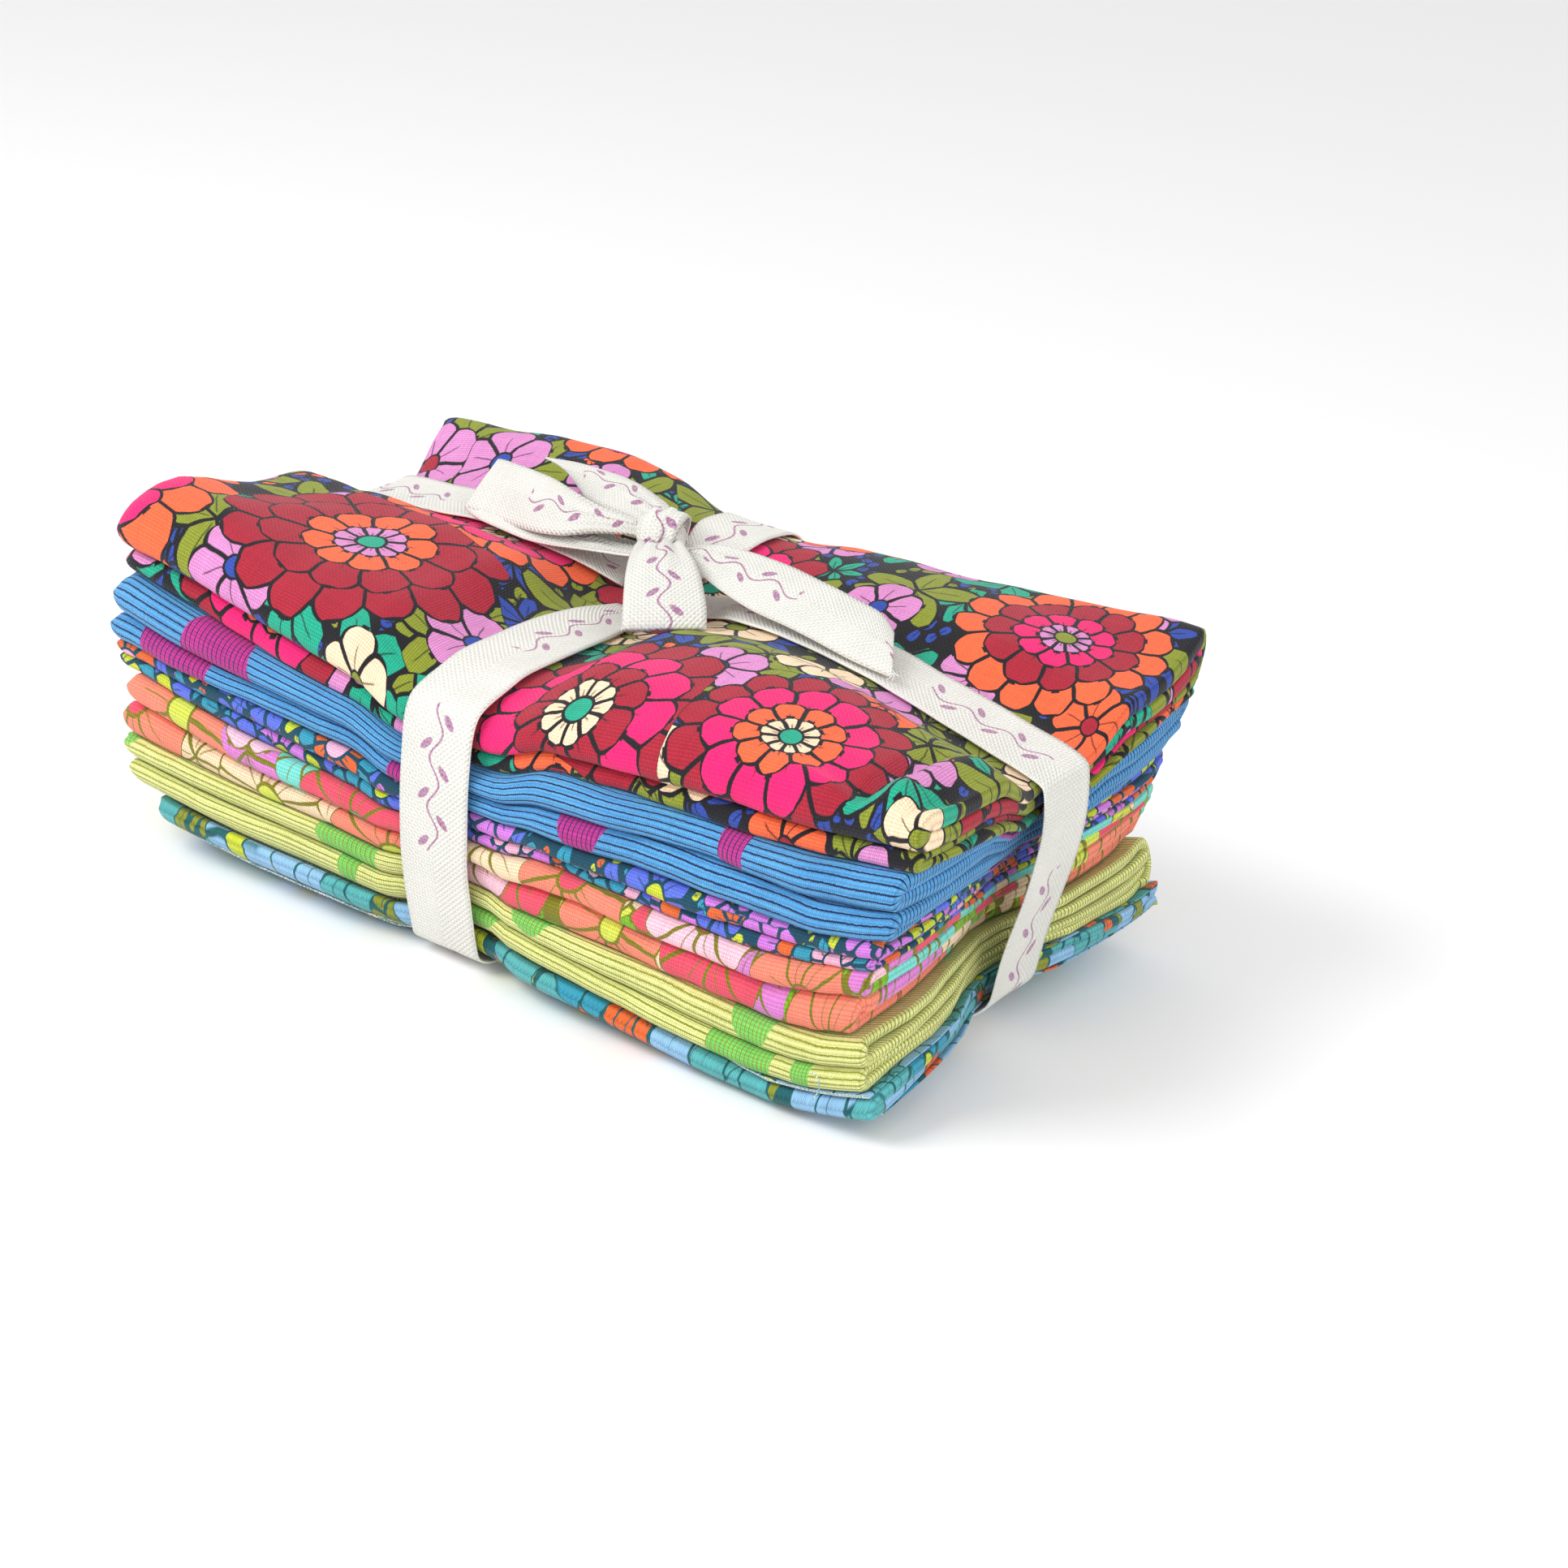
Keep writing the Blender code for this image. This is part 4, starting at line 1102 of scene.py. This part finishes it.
def makeBand(name, node, materials, seed, path, spot, knotAt, slope):
    # a ring of tape: over the top, down one face, underneath, up the other face and over the top to the knot
    rows = []
    overFirst, firstFace, underneath, lastFace, overLast = (tapeForm[part] for part in path)
    across = spot is crossSpot

    def over(stations):
        for station in stations:
            x, y = spot(station, station - knotAt, True)
            rows.append(np.stack([x, y, topHeight(x, y) + tapeForm["offTop"]], axis=1))

    def face(stations):
        for out, z in stations:
            aside = gathered() + (bundle["crossBandX"] if across else longBandY(out))
            level, outward = np.full(len(aside), z), np.full(len(aside), out)
            rows.append(np.stack([aside, outward, level] if across else [outward, aside, level], axis=1))

    def under(stations):
        for station in stations:
            x, y = spot(station, math.inf, False)
            off = tapeForm["offUnder"] + tapeForm["underSlope"] * smoothStep(abs(station), *slope)
            if across:
                off = off + bundle["underRidgeCrossing"] * near(y - longBandY(x), bundle["underReach"])
            rows.append(np.stack([x, y, underHeight(x, y) - off], axis=1))

    over(overFirst)
    face(firstFace)
    under(underneath)
    face(lastFace)
    over(overLast)
    return tapePiece(name, node, rows if across else rows[::-1], materials, seed=seed)


# the bow: x, y, z of the tape's middle, turn in plan and tip of the line across it, width it is gathered to,
# height of its pleats, and how far its edges curl down
bowForms = (
    {"name": "bowLoopFront", "node": "tie_loop_front", "held": "folded", "stations": (
        (-10.2, 10.4, 88.8, 50, 0, 7.5, 0.8, 0.4), (-6.6, 5.0, 91.0, 50, 0, 12.0, 0.6, 0.8),
        (-1.2, -1.8, 91.0, 50, 0, 15.6, 0.4, 0.9), (5.5, -9.5, 88.2, 50, 0, 18.8, 0.1, 0.8),
        (11.8, -17.0, 84.2, 50, 0, 20.0, 0, 0.3), (13.6, -19.2, 81.3, 50, 0, 20.0, 0, 0),
        (11.0, -16.2, 79.8, 50, 0, 20.0, 0, 0), (3.0, -6.5, 80.4, 50, 0, 17.0, 0.1, 0),
        (-5.6, 3.6, 82.4, 50, 0, 8.0, 0.5, 0), (-9.6, 9.0, 84.0, 50, 0, 7.0, 0.5, 0))},
    {"name": "bowLoopLeft", "node": "tie_loop_left", "held": "folded", "stations": (
        (-14.0, 14.4, 88.8, -70, -6, 6.5, 0.8, 0.5), (-21.0, 14.8, 89.0, -70, -10, 6.5, 0.9, 0.6),
        (-32.0, 13.8, 89.0, -66, -17, 10.0, 0.9, 0.8), (-40.5, 12.6, 88.8, -66, -20, 17.0, 0.4, 0.8),
        (-51.0, 14.4, 88.4, -69, -24, 20.0, 0.1, 0.9), (-63.4, 17.6, 87.4, -70, -26, 20.0, 0, 0.7),
        (-74.4, 19.4, 86.0, -76, -23, 20.0, 0, 0), (-67.1, 16.0, 84.2, -70, -15, 20.0, 0, 0),
        (-51.1, 13.4, 83.7, -66, -12, 20.0, 0.1, 0), (-37.0, 12.4, 83.6, -64, -10, 14.0, 0.4, 0),
        (-26.0, 13.4, 83.4, -66, -8, 8.5, 0.7, 0), (-15.0, 13.8, 84.4, -68, -6, 6.5, 0.6, 0))},
    {"name": "bowTailBack", "node": "tie_tail_back", "held": "laid", "stations": (
        (-13.4, 17.4, 87.6, 66, 6, 6.5, 0.8, 0.4), (-17.6, 21.4, 88.8, 70, 6, 7.5, 0.8, 0.6),
        (-25.5, 25.6, 90.8, 78, 7, 12.0, 0.5, 1.6), (-34.0, 28.4, 92.0, 82, 8, 14.5, 0.3, 2.6),
        (-44.0, 31.0, 92.4, 108, 8, 17.0, 0.1, 2.6), (-58.5, 32.6, 91.0, 156, 6, 22.0, 0, 1.4))},
    {"name": "bowTailRight", "node": "tie_tail_right", "held": "laid", "stations": (
        (-9.0, 13.8, 86.6, -78, -6, 6.5, 0.7, 0.4), (-3.0, 13.4, 87.6, -80, -8, 8.0, 0.9, 0.5),
        (5.0, 12.0, 88.6, -82, -14, 14.0, 0.5, 0.8), (22.0, 9.4, 87.6, -84, -15, 20.0, 0.1, 0.9),
        (43.0, 6.4, 85.8, -84, -14, 20.0, 0, 0.6), (52.0, 5.6, 84.7, -78, -15, 20.0, 0, 0.8),
        (62.4, 2.9, 83.3, -57, -14, 17.8, 0, 0.9))},
)


def makeBowPiece(form, materials, seed):
    table = np.array(form["stations"], float)
    steps = np.linspace(0, len(table) - 1, (len(table) - 1) * 2 + 1)
    spread = easedTable(steps, table)
    middle, (turn, tip, width, pleats, curl) = spread[:, :3], spread[:, 3:].T
    turn, tip = np.radians(turn), np.radians(tip)
    across = np.stack([np.cos(tip) * np.cos(turn), np.cos(tip) * np.sin(turn), np.sin(tip)], axis=1)
    rows = middle[:, None] + across[:, None] * (tapeAcross[None, :, None] * width[:, None, None] / 2)
    rows[:, :, 2] -= curl[:, None] * tapeAcross[None, :] ** 2
    return tapePiece(form["name"], form["node"], rows, materials, pleats=pleats, seed=seed)


knotForm = {"half": (5.6, 5.2, 6.2), "wrapAcross": 11.0, "wrapRound": (6.3, 7.2), "toward": (0.54, -0.84),
            "wrapSlant": 1.6}


def makeKnot(materials):
    # a gathered core, and the turn of tape that binds it
    bm = bmesh.new()
    bmesh.ops.create_uvsphere(bm, u_segments=40, v_segments=24, radius=1)
    layer = bm.loops.layers.uv.new("cloth")
    centre = tapeForm["knot"]
    spots = {}
    for vert in bm.verts:
        x, y, z = vert.co
        turn = math.atan2(y, x)
        spots[vert] = (turn * 0.0065, z * 0.009)
        fold = 1 + 0.07 * math.cos(5 * turn + 2.4 * z) * math.cos(z * 1.4) + 0.04 * math.sin(9 * turn - 3 * z)
        squared = [math.copysign(abs(v) ** 0.85, v) for v in (x, y, z)]
        vert.co = [(c + s + h * v * fold) * mm for c, s, h, v in zip(
            centre, (*bundle["shift"], 0), knotForm["half"], squared)]
    for face in bm.faces:
        face.smooth = True
        for loop in face.loops:
            loop[layer].uv = spots[loop.vert]
    mesh = bpy.data.meshes.new("knotCore")
    bm.to_mesh(mesh)
    bm.free()
    core = bpy.data.objects.new("knotCore", mesh)
    finishPiece(core, ["tie_knot"], materials[:1])

    toward = np.array([*knotForm["toward"], 0.0])
    sideways = np.array([-toward[1], toward[0], 0.0])
    rows = []
    for turn in np.linspace(-0.25 * math.pi, 1.28 * math.pi, 17):
        reach, rise = knotForm["wrapRound"]
        middle = np.array(centre) + toward * math.cos(turn) * reach + np.array([0, 0, 1]) * math.sin(turn) * rise
        middle = middle - sideways * math.cos(turn) * knotForm["wrapSlant"]
        width = knotForm["wrapAcross"] * (0.72 + 0.28 * abs(math.sin(turn)))
        bow = (1 - tapeAcross**2) * 1.2 + 0.35 * np.cos(tapeAcross * 7 + 2 * turn)
        outward = toward * math.cos(turn) + np.array([0, 0, 1]) * math.sin(turn)
        rows.append(middle + sideways * tapeAcross[:, None] * width / 2 + outward * bow[:, None])
    pleats = np.full(17, 0.42)
    tapePiece("knotWrap", "tie_knot", rows[::-1], materials, knotForm["wrapAcross"], pleats, 9)


tapeCotton = makeTapeMaterial()
tapeEdge = cutEdge("tapeEdge", ink["white"])
tapeMaterials = [tapeCotton, tapeCotton, tapeEdge]
makeBand("tapeAcross", "tie_band_cross", tapeMaterials, 3,
         ("topFront", "frontFace", "crossUnder", "backFace", "topBack"), crossSpot, tapeForm["knot"][1], (48, 65))
makeBand("tapeAlong", "tie_band_long", tapeMaterials, 5,
         ("topRight", "rightFace", "longUnder", "leftFace", "topLeft"), longSpot, tapeForm["knot"][0], (78, 114))
tailThreads = {
    "bowTailRight": (((66.6, -3.4, 81.0), (67.6, -4.6, 80.7), (68.0, -6.0, 80.2)),
                     ((66.0, -2.6, 81.2), (67.4, -3.4, 80.9), (68.6, -3.8, 80.9)),
                     ((66.8, -3.8, 80.9), (67.0, -5.4, 80.4), (66.6, -6.6, 80.2))),
}
for number, form in enumerate(bowForms):
    trims = [makeThread(form["name"] + f"Thread{n}", points, 0.26, tapeEdge)
             for n, points in enumerate(tailThreads.get(form["name"], ()))]
    makeBowPiece(form, tapeMaterials, 20 + number)
makeKnot(tapeMaterials)
print("tape and bow made")


stage = {"floorHalf": 3, "floorTone": 0.88, "floorRough": 0.8, "worldLight": 0.9,
         "lights": (("key", (-0.5, -0.7, 0.9), 0.6, 9), ("fill", (0.9, -0.6, 0.6), 0.7, 4)), "aim": (0, 0, 0.05)}


def makeStage():
    bm = bmesh.new()
    bmesh.ops.create_grid(bm, x_segments=1, y_segments=1, size=stage["floorHalf"])
    mesh = bpy.data.meshes.new("floor")
    bm.to_mesh(mesh)
    bm.free()
    floor = bpy.data.objects.new("floor", mesh)
    bpy.context.scene.collection.objects.link(floor)
    pale = bpy.data.materials.new("floorPale")
    pale.use_nodes = True
    shader = pale.node_tree.nodes["Principled BSDF"]
    shader.inputs["Base Color"].default_value = (*[stage["floorTone"]] * 3, 1)
    shader.inputs["Roughness"].default_value = stage["floorRough"]
    mesh.materials.append(pale)
    world = bpy.data.worlds.new("studio")
    world.use_nodes = True
    world.node_tree.nodes["Background"].inputs["Color"].default_value = (1, 1, 1, 1)
    world.node_tree.nodes["Background"].inputs["Strength"].default_value = stage["worldLight"]
    bpy.context.scene.world = world


def addArea(name, place, target, size, power):
    data = bpy.data.lights.new(name, "AREA")
    data.size = size
    data.energy = power
    light = bpy.data.objects.new(name, data)
    light.location = place
    light.rotation_mode = "QUATERNION"
    light.rotation_quaternion = (Vector(target) - Vector(place)).to_track_quat("-Z", "Y")
    bpy.context.scene.collection.objects.link(light)


bpy.context.scene.view_settings.view_transform = "Standard"
makeStage()
for lightName, lightPlace, lightSize, lightPower in stage["lights"]:
    addArea(lightName, lightPlace, stage["aim"], lightSize, lightPower)
